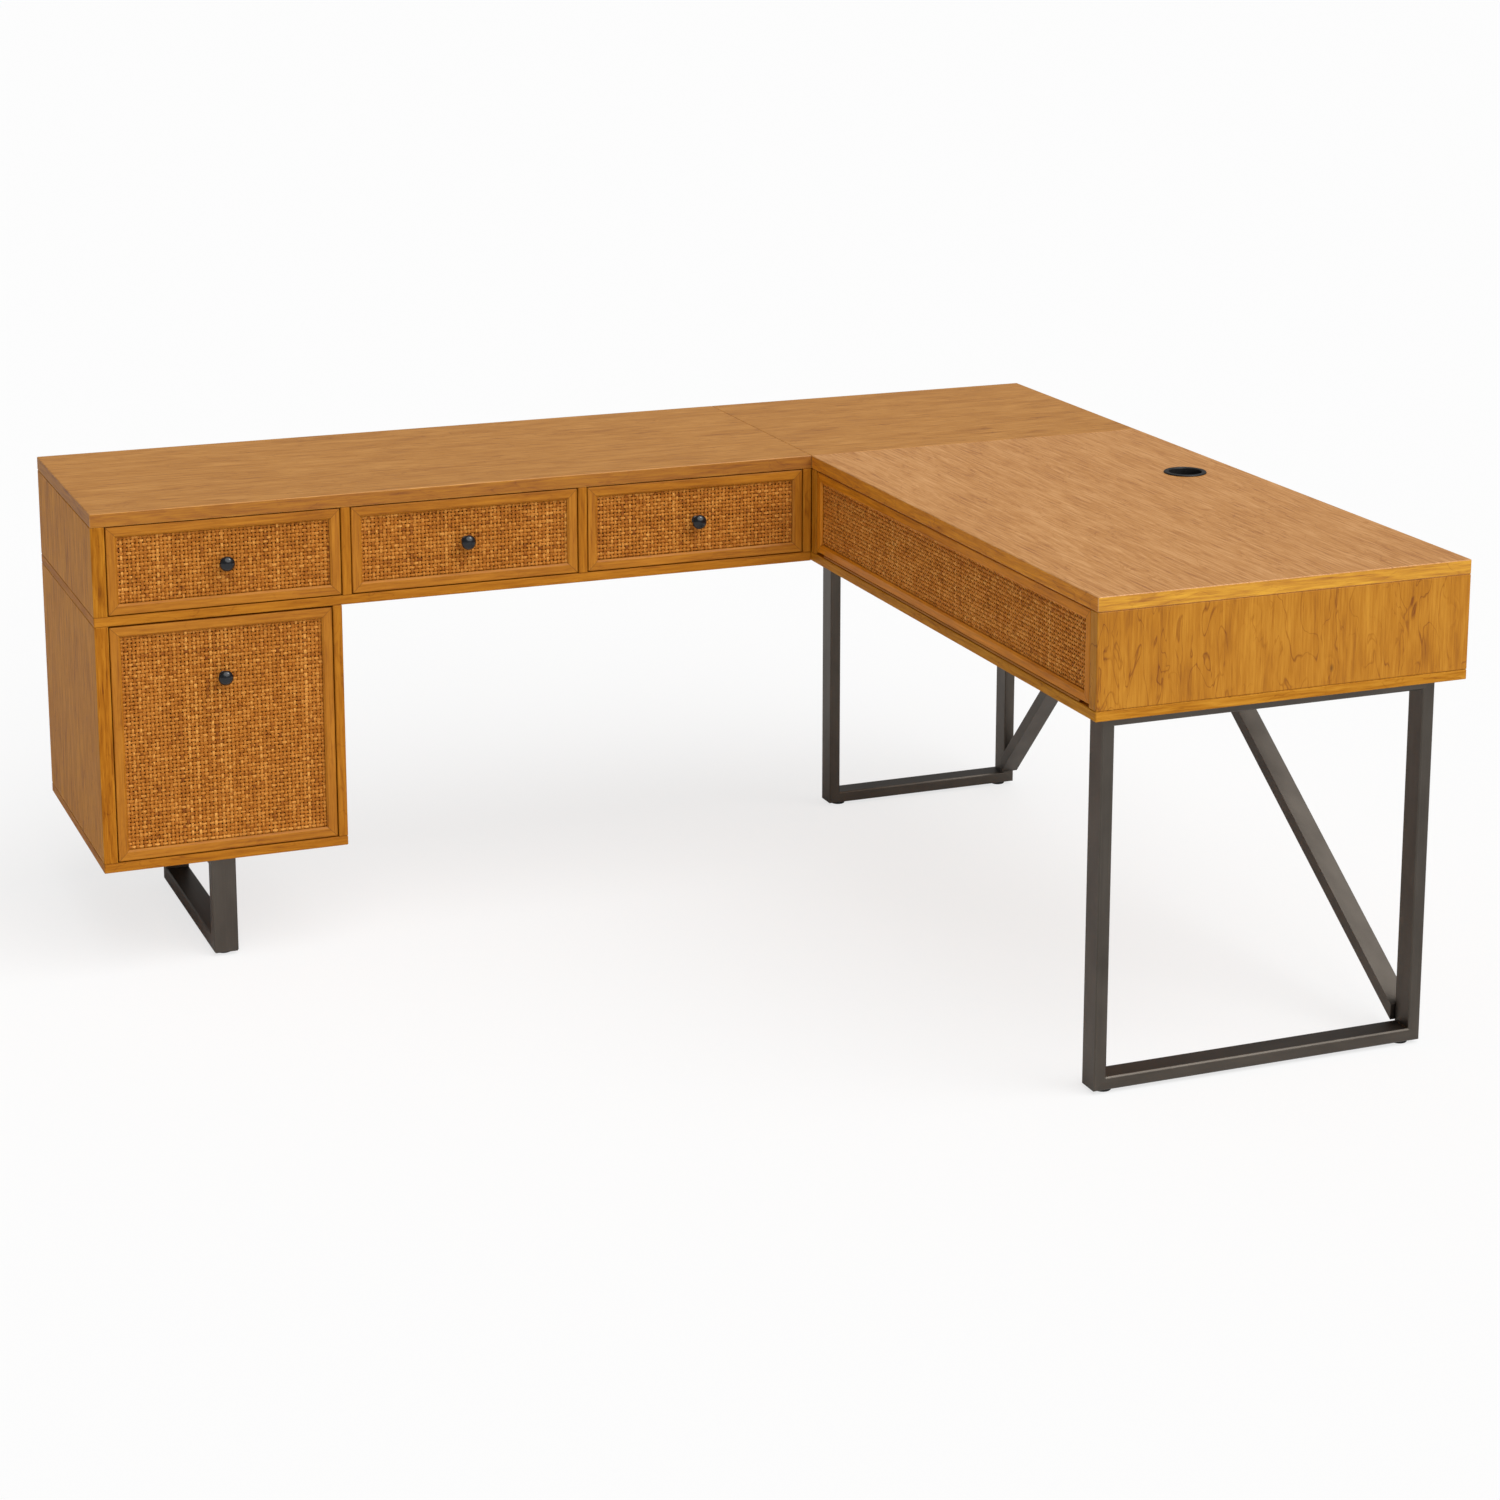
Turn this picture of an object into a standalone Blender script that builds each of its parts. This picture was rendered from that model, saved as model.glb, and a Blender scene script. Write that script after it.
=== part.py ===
# Corner desk: an L-shaped writing desk on steel frames, with a file cabinet under the far left end.
# Lengths are in metres, +Z is up, and the desk stands on Z = 0.
# Design coordinates run from the front left corner of the left wing:
# x to the right along the left wing, y to the back; the right wing reaches forward to y = -KNEE_RUN.
import bmesh
import bpy
import math
from mathutils import Vector

for old in list(bpy.data.objects):
    bpy.data.objects.remove(old, do_unlink=True)

# ---- overall sizes ----
DESK_LENGTH = 1.829          # whole length along the left wing and the corner
LEFT_DEPTH = 0.470           # front to back of the left wing
RIGHT_DEPTH = 0.614          # knee side to outer side of the right wing
KNEE_RUN = 1.040             # inner corner to near end of the right wing
DESK_HEIGHT = 0.762          # floor to top surface
TOP_THICK = 0.022            # top boards
CASE_HEIGHT = 0.160          # underside of the top to underside of the case
CABINET_CLEAR = 0.176        # floor to underside of the file cabinet
CABINET_WIDTH = 0.398        # outer width of the file cabinet
DIVIDER_SET = 0.002          # first drawer divider stands this far past the cabinet

# ---- panels ----
PANEL = 0.022                # outer panels of the case
THIN_PANEL = 0.015           # dividers, bottom boards and backs
BAY_SIDE = 0.020             # partition at the far end of the tray bay
GAP = 0.0003                 # clearance between pieces that touch
EDGE = 0.0010                # eased edge of a panel

# ---- fronts ----
FRONT_GAP = 0.0018           # shadow gap round a drawer front
FRONT_SET = 0.0010           # how far a front stands back from the case edge
FRONT_THICK = 0.020          # thickness of a front frame
MEMBER = 0.017               # visible width of a frame member
RECESS = 0.0045              # depth of the woven panel behind the frame face
REBATE = 0.0040              # how far the woven panel reaches behind the member
WEAVE_THICK = 0.0060         # woven panel with its backing
FIT = 0.0004                 # clearance of the woven panel in its rebate

# ---- drawers ----
WALL = 0.012                 # drawer box walls
BOX_BOTTOM = 0.006           # drawer box bottom
BOX_BACK_CLEAR = 0.024       # drawer box to the back of the case
SIDE_CLEAR = 0.005           # shallow drawer box to the case, each side
SHALLOW_WALL_HEIGHT = 0.105  # shallow drawer box height
GUIDE_WIDTH = 0.030          # centre guide under a shallow drawer
GUIDE_HEIGHT = 0.009
GUIDE_CLEAR = 0.0015         # guide to the notch of the drawer box
FILE_BOX_DROP = 0.125        # top edge of the file drawer front to the rim of its box
SLIDE_SPACE = 0.0130         # room for a steel slide at each side of the file drawer
SLIDE_HEIGHT = 0.045
SLIDE_END_CLEAR = 0.004      # slide to the ends of the drawer box
SLIDE_SHEET = 0.0015

# ---- knobs ----
KNOB_RADIUS = 0.0122
KNOB_REACH = 0.027           # woven panel to the crown of the knob
FILE_KNOB_DROP = 0.095       # top edge of the file drawer front to its knob

# ---- keyboard tray ----
TRAY_REACH = 0.360           # front to back of the tray
TRAY_THICK = 0.015
TRAY_BACK_GAP = 0.0020       # drop front to tray
RUNNER_PAST = 0.020          # runner reaches this far behind the tray
TRAY_LIFT = 0.0020           # tray board above the bottom board
TRAY_CHEEK = 0.034           # height of the tray sides
RUNNER_THICK = 0.012
RUNNER_HEIGHT = 0.032
HINGE_RADIUS = 0.0024
HINGE_LEAF = 0.0012
FLAP_LIFT = 0.0035           # gap under the drop front

# ---- steel ----
TUBE_ACROSS = 0.040          # tube size across a frame
TUBE_FACE = 0.020            # tube size in the plane of an end frame
SLED_FACE = 0.025            # tube size in the plane of the cabinet leg
TUBE_EDGE = 0.0020           # corner radius of the tube, cut as a chamfer
FRAME_INSET = 0.030          # frame to the long sides of the right wing
FRAME_RECESS = 0.035         # frame to the ends of the right wing and to the cabinet front
FAR_FRAME_WIDTH = 0.379
BRACE_WIDTH = 0.034
BRACE_THICK = 0.020
BRACE_MEET = -0.140          # y where the two braces meet under the case
BRACE_HALF = 0.030           # from there to the toe of each brace
BRACE_PLATE = 0.004
BRACE_LIP = 0.022            # how far the fixing plate passes the toe
GLIDE_RADIUS = 0.013
GLIDE_HEIGHT = 0.006

# ---- cable grommet ----
GROMMET_FROM_SIDE = 0.096    # centre to the outer side of the right wing
GROMMET_FROM_CORNER = 0.352  # centre to the seam at the inner corner
GROMMET_BORE = 0.060         # hole in the top
GROMMET_RIM = 0.070
GROMMET_WALL = 0.0025
GROMMET_LIP = 0.0022         # rim above the top surface

# ---- levels and stations that follow from the sizes ----
INNER_X = DESK_LENGTH - RIGHT_DEPTH
TOP_LOW = DESK_HEIGHT - TOP_THICK
CASE_LOW = TOP_LOW - CASE_HEIGHT
FLOOR_TOP = CASE_LOW + THIN_PANEL
CABINET_FLOOR = CABINET_CLEAR + THIN_PANEL
CABINET_TOP = CASE_LOW - GAP
BACK_Y = LEFT_DEPTH
END_Y = -KNEE_RUN
BACK_FACE = LEFT_DEPTH - THIN_PANEL
SHIFT_X = -DESK_LENGTH / 2
SHIFT_Y = -(LEFT_DEPTH - KNEE_RUN) / 2
GROMMET_X = DESK_LENGTH - GROMMET_FROM_SIDE
GROMMET_Y = -GROMMET_FROM_CORNER
CABINET_INNER = CABINET_WIDTH - THIN_PANEL
DIVIDER_ONE = CABINET_WIDTH + DIVIDER_SET
BAYS_LEFT = DIVIDER_ONE + THIN_PANEL
BAYS_RIGHT = INNER_X - THIN_PANEL
DIVIDER_TWO = (BAYS_LEFT + BAYS_RIGHT - THIN_PANEL) / 2


def material(name, colour, metallic, roughness):
    found = bpy.data.materials.get(name)
    if found:
        return found
    made = bpy.data.materials.new(name)
    made.use_nodes = True
    shader = made.node_tree.nodes["Principled BSDF"]
    shader.inputs["Base Color"].default_value = (*colour, 1.0)
    shader.inputs["Metallic"].default_value = metallic
    shader.inputs["Roughness"].default_value = roughness
    made.diffuse_color = (*colour, 1.0)
    return made


TOP_WOOD = material("top_wood", (0.53, 0.28, 0.10), 0.0, 0.5)
CASE_WOOD = material("case_wood", (0.40, 0.20, 0.08), 0.0, 0.5)
FRONT_WOOD = material("front_wood", (0.48, 0.20, 0.05), 0.0, 0.5)
BOX_WOOD = material("drawer_box_wood", (0.62, 0.45, 0.26), 0.0, 0.6)
WEAVE = material("woven_raffia", (0.43, 0.18, 0.05), 0.0, 0.8)
BRONZE = material("bronze_steel", (0.09, 0.08, 0.07), 1.0, 0.4)
SLIDE_STEEL = material("slide_steel", (0.5, 0.5, 0.5), 1.0, 0.35)
KNOB_BLACK = material("knob_black", (0.013, 0.017, 0.02), 0.0, 0.15)
PLASTIC = material("black_plastic", (0.02, 0.02, 0.02), 0.0, 0.5)


def place(name, mesh, slot, smooth=False, pivot=(0.0, 0.0, 0.0)):
    # Turns a mesh in design coordinates into an object whose origin is the pivot.
    origin = Vector(pivot)
    for vertex in mesh.verts:
        vertex.co = vertex.co - origin
    bmesh.ops.recalc_face_normals(mesh, faces=mesh.faces)
    data = bpy.data.meshes.new(name)
    mesh.to_mesh(data)
    mesh.free()
    if smooth:
        for face in data.polygons:
            face.use_smooth = True
        data.set_sharp_from_angle(angle=math.radians(35))
    data.materials.append(slot)
    made = bpy.data.objects.new(name, data)
    made.location = origin + Vector((SHIFT_X, SHIFT_Y, 0.0))
    bpy.context.scene.collection.objects.link(made)
    return made


def block_mesh(x0, x1, y0, y1, z0, z1, edge=EDGE):
    mesh = bmesh.new()
    bmesh.ops.create_cube(mesh, size=1.0)
    for vertex in mesh.verts:
        vertex.co.x = x1 if vertex.co.x > 0 else x0
        vertex.co.y = y1 if vertex.co.y > 0 else y0
        vertex.co.z = z1 if vertex.co.z > 0 else z0
    if edge > 0:
        bmesh.ops.bevel(mesh, geom=list(mesh.edges), offset=edge, segments=1, affect="EDGES")
    return mesh


def block(name, x0, x1, y0, y1, z0, z1, slot, edge=EDGE, pivot=(0.0, 0.0, 0.0)):
    return place(name, block_mesh(x0, x1, y0, y1, z0, z1, edge), slot, pivot=pivot)


def swept_mesh(profile, low, high, along):
    # Extrudes a closed profile of (u, v) points along one axis: "x" takes (y, z), "y" takes (x, z).
    mesh = bmesh.new()
    rings = []
    for station in (low, high):
        ring = []
        for u, v in profile:
            point = (station, u, v) if along == "x" else (u, station, v)
            ring.append(mesh.verts.new(point))
        rings.append(ring)
    count = len(profile)
    for k in range(count):
        n = (k + 1) % count
        mesh.faces.new((rings[0][k], rings[0][n], rings[1][n], rings[1][k]))
    mesh.faces.new(rings[0])
    mesh.faces.new(rings[1])
    return mesh


def loop_mesh(u0, u1, v0, v1, profile, plane):
    # Sweeps a closed profile round a rectangle with mitred corners.
    # Profile points are (distance inward from the outer edge, station across the frame).
    mesh = bmesh.new()
    corners = ((u0, v0, 1, 1), (u1, v0, -1, 1), (u1, v1, -1, -1), (u0, v1, 1, -1))
    rings = []
    for cu, cv, su, sv in corners:
        ring = []
        for inward, across in profile:
            u = cu + su * inward
            v = cv + sv * inward
            if plane == "xz":
                point = (u, across, v)
            else:
                point = (across, u, v)
            ring.append(mesh.verts.new(point))
        rings.append(ring)
    count = len(profile)
    for c in range(4):
        a = rings[c]
        b = rings[(c + 1) % 4]
        for k in range(count):
            n = (k + 1) % count
            mesh.faces.new((a[k], a[n], b[n], b[k]))
    return mesh


def lathe_mesh(profile, centre, axis, steps=40):
    # Turns a closed or axis-to-axis profile of (radius, height) about an axis through centre.
    mesh = bmesh.new()
    base = Vector(centre)
    rings = []
    for radius, height in profile:
        ring = []
        turns = 1 if radius < 1e-9 else steps
        for k in range(turns):
            angle = 2 * math.pi * k / steps
            a = radius * math.cos(angle)
            b = radius * math.sin(angle)
            if axis == "z":
                point = Vector((a, b, height))
            else:
                point = Vector((a, height, b))
            ring.append(mesh.verts.new(base + point))
        rings.append(ring)
    closed = profile[0][0] > 1e-9
    pairs = len(rings) if closed else len(rings) - 1
    for c in range(pairs):
        low = rings[c]
        high = rings[(c + 1) % len(rings)]
        for k in range(steps):
            n = (k + 1) % steps
            if len(low) == 1:
                mesh.faces.new((low[0], high[n], high[k]))
            elif len(high) == 1:
                mesh.faces.new((low[k], low[n], high[0]))
            else:
                mesh.faces.new((low[k], low[n], high[n], high[k]))
    return mesh


def chamfered(u0, u1, v0, v1, edge):
    return [
        (u0 + edge, v0), (u1 - edge, v0), (u1, v0 + edge), (u1, v1 - edge),
        (u1 - edge, v1), (u0 + edge, v1), (u0, v1 - edge), (u0, v0 + edge),
    ]


def cut(body, tool_mesh, label):
    # Removes one closed shape from a piece, exactly, and keeps no trace of the cutter.
    data = bpy.data.meshes.new(label)
    bmesh.ops.recalc_face_normals(tool_mesh, faces=tool_mesh.faces)
    tool_mesh.to_mesh(data)
    tool_mesh.free()
    tool = bpy.data.objects.new(label, data)
    tool.location = (SHIFT_X, SHIFT_Y, 0.0)
    tool.hide_render = True
    tool.display_type = "WIRE"
    bpy.context.scene.collection.objects.link(tool)
    modifier = body.modifiers.new(label, "BOOLEAN")
    modifier.operation = "DIFFERENCE"
    modifier.solver = "EXACT"
    modifier.object = tool
    bpy.context.view_layer.update()
    graph = bpy.context.evaluated_depsgraph_get()
    result = bpy.data.meshes.new_from_object(body.evaluated_get(graph))
    body.modifiers.clear()
    spent = body.data
    body.data = result
    bpy.data.meshes.remove(spent)
    bpy.data.objects.remove(tool, do_unlink=True)
    bpy.data.meshes.remove(data)


# ---- tops: left wing, square corner, right wing ----
block("top_left_wing", 0, INNER_X - GAP, 0, BACK_Y, TOP_LOW, DESK_HEIGHT, TOP_WOOD)
block("top_corner", INNER_X, DESK_LENGTH, 0, BACK_Y, TOP_LOW, DESK_HEIGHT, TOP_WOOD)
right_top = block("top_right_wing", INNER_X, DESK_LENGTH, END_Y, -GAP, TOP_LOW, DESK_HEIGHT, TOP_WOOD)
bore = [(0.0, TOP_LOW - 0.01), (GROMMET_BORE / 2, TOP_LOW - 0.01)]
bore += [(GROMMET_BORE / 2, DESK_HEIGHT + 0.01), (0.0, DESK_HEIGHT + 0.01)]
cut(right_top, lathe_mesh(bore, (GROMMET_X, GROMMET_Y, 0), "z", 64), "grommet_bore")
sleeve_out = GROMMET_BORE / 2 - GAP
sleeve_in = sleeve_out - GROMMET_WALL
rim = GROMMET_RIM / 2
lip = DESK_HEIGHT + GAP
sleeve = [
    (sleeve_in, TOP_LOW + 0.002), (sleeve_out, TOP_LOW + 0.002), (sleeve_out, lip), (rim, lip),
    (rim - 0.0004, lip + 0.0010), (rim - 0.0022, lip + GROMMET_LIP),
    (sleeve_in + 0.0018, lip + GROMMET_LIP), (sleeve_in + 0.0004, lip + 0.0012), (sleeve_in, lip - 0.001),
]
place("cable_grommet", lathe_mesh(sleeve, (GROMMET_X, GROMMET_Y, 0), "z", 64), PLASTIC, True)

# ---- case of the left wing ----
CASE_A = FLOOR_TOP + GAP
CASE_B = TOP_LOW - GAP
BACK_A = BACK_FACE + GAP
block("left_wing_bottom", 0, INNER_X - GAP, 0, BACK_Y, CASE_LOW, FLOOR_TOP, CASE_WOOD)
block("left_wing_left_side", 0, PANEL, 0, BACK_Y, CASE_A, CASE_B, CASE_WOOD)
block("left_wing_back", PANEL + GAP, BAYS_RIGHT - GAP, BACK_A, BACK_Y, CASE_A, CASE_B, CASE_WOOD)
block("drawer_divider_left", DIVIDER_ONE, DIVIDER_ONE + THIN_PANEL, 0, BACK_FACE, CASE_A, CASE_B, CASE_WOOD)
block("drawer_divider_right", DIVIDER_TWO, DIVIDER_TWO + THIN_PANEL, 0, BACK_FACE, CASE_A, CASE_B, CASE_WOOD)
block("left_wing_corner_side", BAYS_RIGHT, INNER_X - GAP, 0, BACK_Y, CASE_A, CASE_B, CASE_WOOD)

# ---- case of the corner and the right wing ----
OUTER_FACE = DESK_LENGTH - PANEL
END_FACE = END_Y + PANEL
BAY_FACE = -BAY_SIDE
right_floor = block("right_wing_bottom", INNER_X, DESK_LENGTH, END_Y, BACK_Y, CASE_LOW, FLOOR_TOP, CASE_WOOD)
bore = [(0.0, CASE_LOW - 0.01), (GROMMET_BORE / 2, CASE_LOW - 0.01)]
bore += [(GROMMET_BORE / 2, FLOOR_TOP + 0.01), (0.0, FLOOR_TOP + 0.01)]
cut(right_floor, lathe_mesh(bore, (GROMMET_X, GROMMET_Y, 0), "z", 64), "cable_outlet")
block("right_wing_end_panel", INNER_X, DESK_LENGTH, END_Y, END_FACE, CASE_A, CASE_B, FRONT_WOOD)
block("right_wing_outer_side", OUTER_FACE, DESK_LENGTH, END_FACE + GAP, BACK_Y, CASE_A, CASE_B, CASE_WOOD)
block("corner_back", INNER_X, OUTER_FACE - GAP, BACK_Y - PANEL, BACK_Y, CASE_A, CASE_B, CASE_WOOD)
bay_end = INNER_X + FRONT_SET + FRONT_THICK + TRAY_BACK_GAP + TRAY_REACH + RUNNER_PAST + 0.022
block("tray_bay_far_side", INNER_X, bay_end, BAY_FACE, -GAP, CASE_A, CASE_B, CASE_WOOD)

# ---- file cabinet under the left end ----
CAB_A = CABINET_FLOOR + GAP
block("cabinet_bottom", 0, CABINET_WIDTH, 0, BACK_Y, CABINET_CLEAR, CABINET_FLOOR, CASE_WOOD)
block("cabinet_left_side", 0, PANEL, 0, BACK_Y, CAB_A, CABINET_TOP, CASE_WOOD)
block("cabinet_right_side", CABINET_INNER, CABINET_WIDTH, 0, BACK_Y, CAB_A, CABINET_TOP, CASE_WOOD)
block("cabinet_back", PANEL + GAP, CABINET_INNER - GAP, BACK_A, BACK_Y, CAB_A, CABINET_TOP, CASE_WOOD)


# ---- fronts: mitred frame with a woven panel set in a rebate ----
def frame_profile(face, deep):
    # Section of a frame member: eased outer edge, small bevel down to the woven panel, rebate behind.
    return [
        (0.0, face + EDGE), (EDGE, face), (MEMBER - 0.0030, face), (MEMBER, face + 0.0028),
        (MEMBER, face + RECESS), (MEMBER - REBATE, face + RECESS), (MEMBER - REBATE, deep), (0.0, deep),
    ]


def front(name, x0, x1, z0, z1, knob_x, knob_z, pivot):
    face = FRONT_SET
    deep = face + FRONT_THICK
    place(name + "_front_frame", loop_mesh(x0, x1, z0, z1, frame_profile(face, deep), "xz"), FRONT_WOOD,
          pivot=pivot)
    reach = MEMBER - REBATE + FIT
    weave_y = face + RECESS + GAP
    block(name + "_woven_panel", x0 + reach, x1 - reach, weave_y, weave_y + WEAVE_THICK,
          z0 + reach, z1 - reach, WEAVE, 0.0004, pivot)
    base = weave_y - GAP
    crown = [
        (0.0, base), (0.0070, base), (0.0070, base - 0.0012), (0.0050, base - 0.0024),
        (0.0044, base - 0.0090), (0.0052, base - 0.0125), (0.0090, base - KNOB_REACH + 0.0112),
        (KNOB_RADIUS - 0.0006, base - KNOB_REACH + 0.0092), (KNOB_RADIUS, base - KNOB_REACH + 0.0072),
        (KNOB_RADIUS - 0.0007, base - KNOB_REACH + 0.0050), (KNOB_RADIUS - 0.0028, base - KNOB_REACH + 0.0026),
        (KNOB_RADIUS - 0.0066, base - KNOB_REACH + 0.0007), (0.0, base - KNOB_REACH),
    ]
    place(name + "_knob", lathe_mesh(crown, (knob_x, 0, knob_z), "y"), KNOB_BLACK, True, pivot)
    return deep + GAP


def shallow_drawer(name, left, right):
    x0 = left + FRONT_GAP
    x1 = right - FRONT_GAP
    z0 = FLOOR_TOP + FRONT_GAP
    z1 = TOP_LOW - FRONT_GAP
    middle = (x0 + x1) / 2
    pivot = (middle, 0.0, (z0 + z1) / 2)
    start = front(name, x0, x1, z0, z1, middle, (z0 + z1) / 2, pivot)
    bx0 = left + SIDE_CLEAR
    bx1 = right - SIDE_CLEAR
    by1 = BACK_FACE - BOX_BACK_CLEAR
    bz0 = FLOOR_TOP + 2 * GAP
    bz1 = bz0 + SHALLOW_WALL_HEIGHT
    shelf = FLOOR_TOP + GAP + GUIDE_HEIGHT + GUIDE_CLEAR
    box = block(name + "_box", bx0, bx1, start, by1, bz0, bz1, BOX_WOOD, 0.0, pivot)
    cut(box, block_mesh(bx0 + WALL, bx1 - WALL, start + WALL, by1 - WALL, shelf + BOX_BOTTOM, bz1 + 0.01, 0),
        "drawer_well")
    cut(box, block_mesh(bx0 + WALL, bx1 - WALL, start + WALL, by1 - WALL, bz0 - 0.01, shelf, 0), "under_bottom")
    half = GUIDE_WIDTH / 2 + GUIDE_CLEAR
    cut(box, block_mesh(middle - half, middle + half, start - 0.01, by1 + 0.01, bz0 - 0.01, shelf - 0.0005, 0),
        "guide_notch")
    block(name + "_guide", middle - GUIDE_WIDTH / 2, middle + GUIDE_WIDTH / 2, start + 0.004, BACK_FACE,
          FLOOR_TOP + GAP, FLOOR_TOP + GAP + GUIDE_HEIGHT, BOX_WOOD, 0.0005)


shallow_drawer("drawer_left", PANEL, DIVIDER_ONE)
shallow_drawer("drawer_middle", BAYS_LEFT, DIVIDER_TWO)
shallow_drawer("drawer_right", DIVIDER_TWO + THIN_PANEL, BAYS_RIGHT)

# ---- file drawer on steel slides ----
fx0 = PANEL + FRONT_GAP
fx1 = CABINET_INNER - FRONT_GAP
fz0 = CABINET_FLOOR + FRONT_GAP
fz1 = CABINET_TOP - FRONT_GAP - 0.001
fmid = (fx0 + fx1) / 2
file_pivot = (fmid, 0.0, (fz0 + fz1) / 2)
file_start = front("file_drawer", fx0, fx1, fz0, fz1, fmid, fz1 - FILE_KNOB_DROP, file_pivot)
gx0 = PANEL + SLIDE_SPACE
gx1 = CABINET_INNER - SLIDE_SPACE
gz0 = fz0 + 0.008
gz1 = fz1 - FILE_BOX_DROP
gy1 = BACK_FACE - BOX_BACK_CLEAR
file_box = block("file_drawer_box", gx0, gx1, file_start, gy1, gz0, gz1, BOX_WOOD, 0.0, file_pivot)
cut(file_box, block_mesh(gx0 + WALL, gx1 - WALL, file_start + WALL, gy1 - WALL, gz0 + 0.009, gz1 + 0.01, 0),
    "file_well")


def channel(side, wall, half, lip, middle):
    # Open channel section in (x, z): a web on one wall, lips reaching away from it.
    w = wall
    s = side
    t = SLIDE_SHEET
    return [
        (w, middle - half), (w + s * lip, middle - half), (w + s * lip, middle - half + t),
        (w + s * t, middle - half + t), (w + s * t, middle + half - t), (w + s * lip, middle + half - t),
        (w + s * lip, middle + half), (w, middle + half),
    ]


slide_mid = gz0 + 0.080
slide_y0 = file_start + SLIDE_END_CLEAR
slide_y1 = gy1 - SLIDE_END_CLEAR
half_high = SLIDE_HEIGHT / 2
for side, wall, box_wall, tag in ((1, PANEL, gx0, "left"), (-1, CABINET_INNER, gx1, "right")):
    fixed = channel(side, wall + side * GAP, half_high, SLIDE_SPACE - 0.0015, slide_mid)
    place("file_slide_fixed_" + tag, swept_mesh(fixed, slide_y0, slide_y1, "y"), SLIDE_STEEL)
    moving = channel(-side, box_wall - side * GAP, half_high - 0.0035, SLIDE_SPACE - 0.0040, slide_mid)
    place("file_slide_moving_" + tag, swept_mesh(moving, slide_y0, slide_y1, "y"), SLIDE_STEEL,
          pivot=file_pivot)

# ---- keyboard tray with a drop front ----
ty0 = END_FACE + FRONT_GAP
ty1 = BAY_FACE - FRONT_GAP
tz0 = FLOOR_TOP + FLAP_LIFT
tz1 = TOP_LOW - FRONT_GAP
flap_face = INNER_X + FRONT_SET
flap_deep = flap_face + FRONT_THICK
hinge_x = flap_face + HINGE_RADIUS
hinge_z = FLOOR_TOP + 0.0005 + HINGE_RADIUS
hinge_pivot = (hinge_x, (ty0 + ty1) / 2, hinge_z)
flap = place("drop_front_frame", loop_mesh(ty0, ty1, tz0, tz1, frame_profile(flap_face, flap_deep), "yz"),
             FRONT_WOOD, pivot=hinge_pivot)
notch_reach = HINGE_RADIUS * 2 + 0.0010
cut(flap, block_mesh(flap_face - 0.01, flap_face + notch_reach, ty0 - 0.01, ty1 + 0.01,
                     tz0 - 0.01, hinge_z + HINGE_RADIUS + 0.0006, 0), "hinge_notch")
reach = MEMBER - REBATE + FIT
weave_x = flap_face + RECESS + GAP
block("drop_front_woven_panel", weave_x, weave_x + WEAVE_THICK, ty0 + reach, ty1 - reach,
      tz0 + reach, tz1 - reach, WEAVE, 0.0004, hinge_pivot)

tray_z0 = FLOOR_TOP + TRAY_LIFT
tray_x0 = flap_deep + TRAY_BACK_GAP
tray_x1 = tray_x0 + TRAY_REACH
tray_y0 = END_FACE + GAP + RUNNER_THICK + GAP
tray_y1 = BAY_FACE - GAP - RUNNER_THICK - GAP
tray = block("keyboard_tray", tray_x0, tray_x1, tray_y0, tray_y1, tray_z0, tray_z0 + TRAY_CHEEK, BOX_WOOD, 0.0)
cut(tray, block_mesh(tray_x0 - 0.01, tray_x1 - WALL, tray_y0 + WALL, tray_y1 - WALL, tray_z0 + TRAY_THICK,
                     tray_z0 + TRAY_CHEEK + 0.01, 0), "tray_well")
runner_z = tray_z0 + 0.001
runner_x1 = tray_x0 + TRAY_REACH + RUNNER_PAST
for tag, low in (("near", END_FACE + GAP), ("far", BAY_FACE - GAP - RUNNER_THICK)):
    block("tray_runner_" + tag, tray_x0 + 0.006, runner_x1, low, low + RUNNER_THICK,
          runner_z, runner_z + RUNNER_HEIGHT, SLIDE_STEEL, 0.0008)

leaf_z0 = FLOOR_TOP + 0.0005
steps = 14
hinge_profile = [(hinge_x, leaf_z0), (tray_x0 + 0.030, leaf_z0), (tray_x0 + 0.030, leaf_z0 + HINGE_LEAF)]
turn_low = math.asin((leaf_z0 + HINGE_LEAF - hinge_z) / HINGE_RADIUS)
turn_high = math.radians(270)
for k in range(steps):
    angle = turn_low + (turn_high - turn_low) * k / steps
    hinge_profile.append((hinge_x + HINGE_RADIUS * math.cos(angle), hinge_z + HINGE_RADIUS * math.sin(angle)))
place("drop_front_hinge", swept_mesh(hinge_profile, ty0 + 0.030, ty1 - 0.030, "y"), SLIDE_STEEL, True)

# ---- steel end frames, cabinet leg and braces ----
FRAME_LOW = GLIDE_HEIGHT
FRAME_TOP = CASE_LOW - GAP
frame_left = INNER_X + FRAME_INSET
frame_right = DESK_LENGTH - FRAME_INSET


def tube_section(low, high, face):
    points = chamfered(0.0, face, low, high, TUBE_EDGE)
    return points


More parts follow.
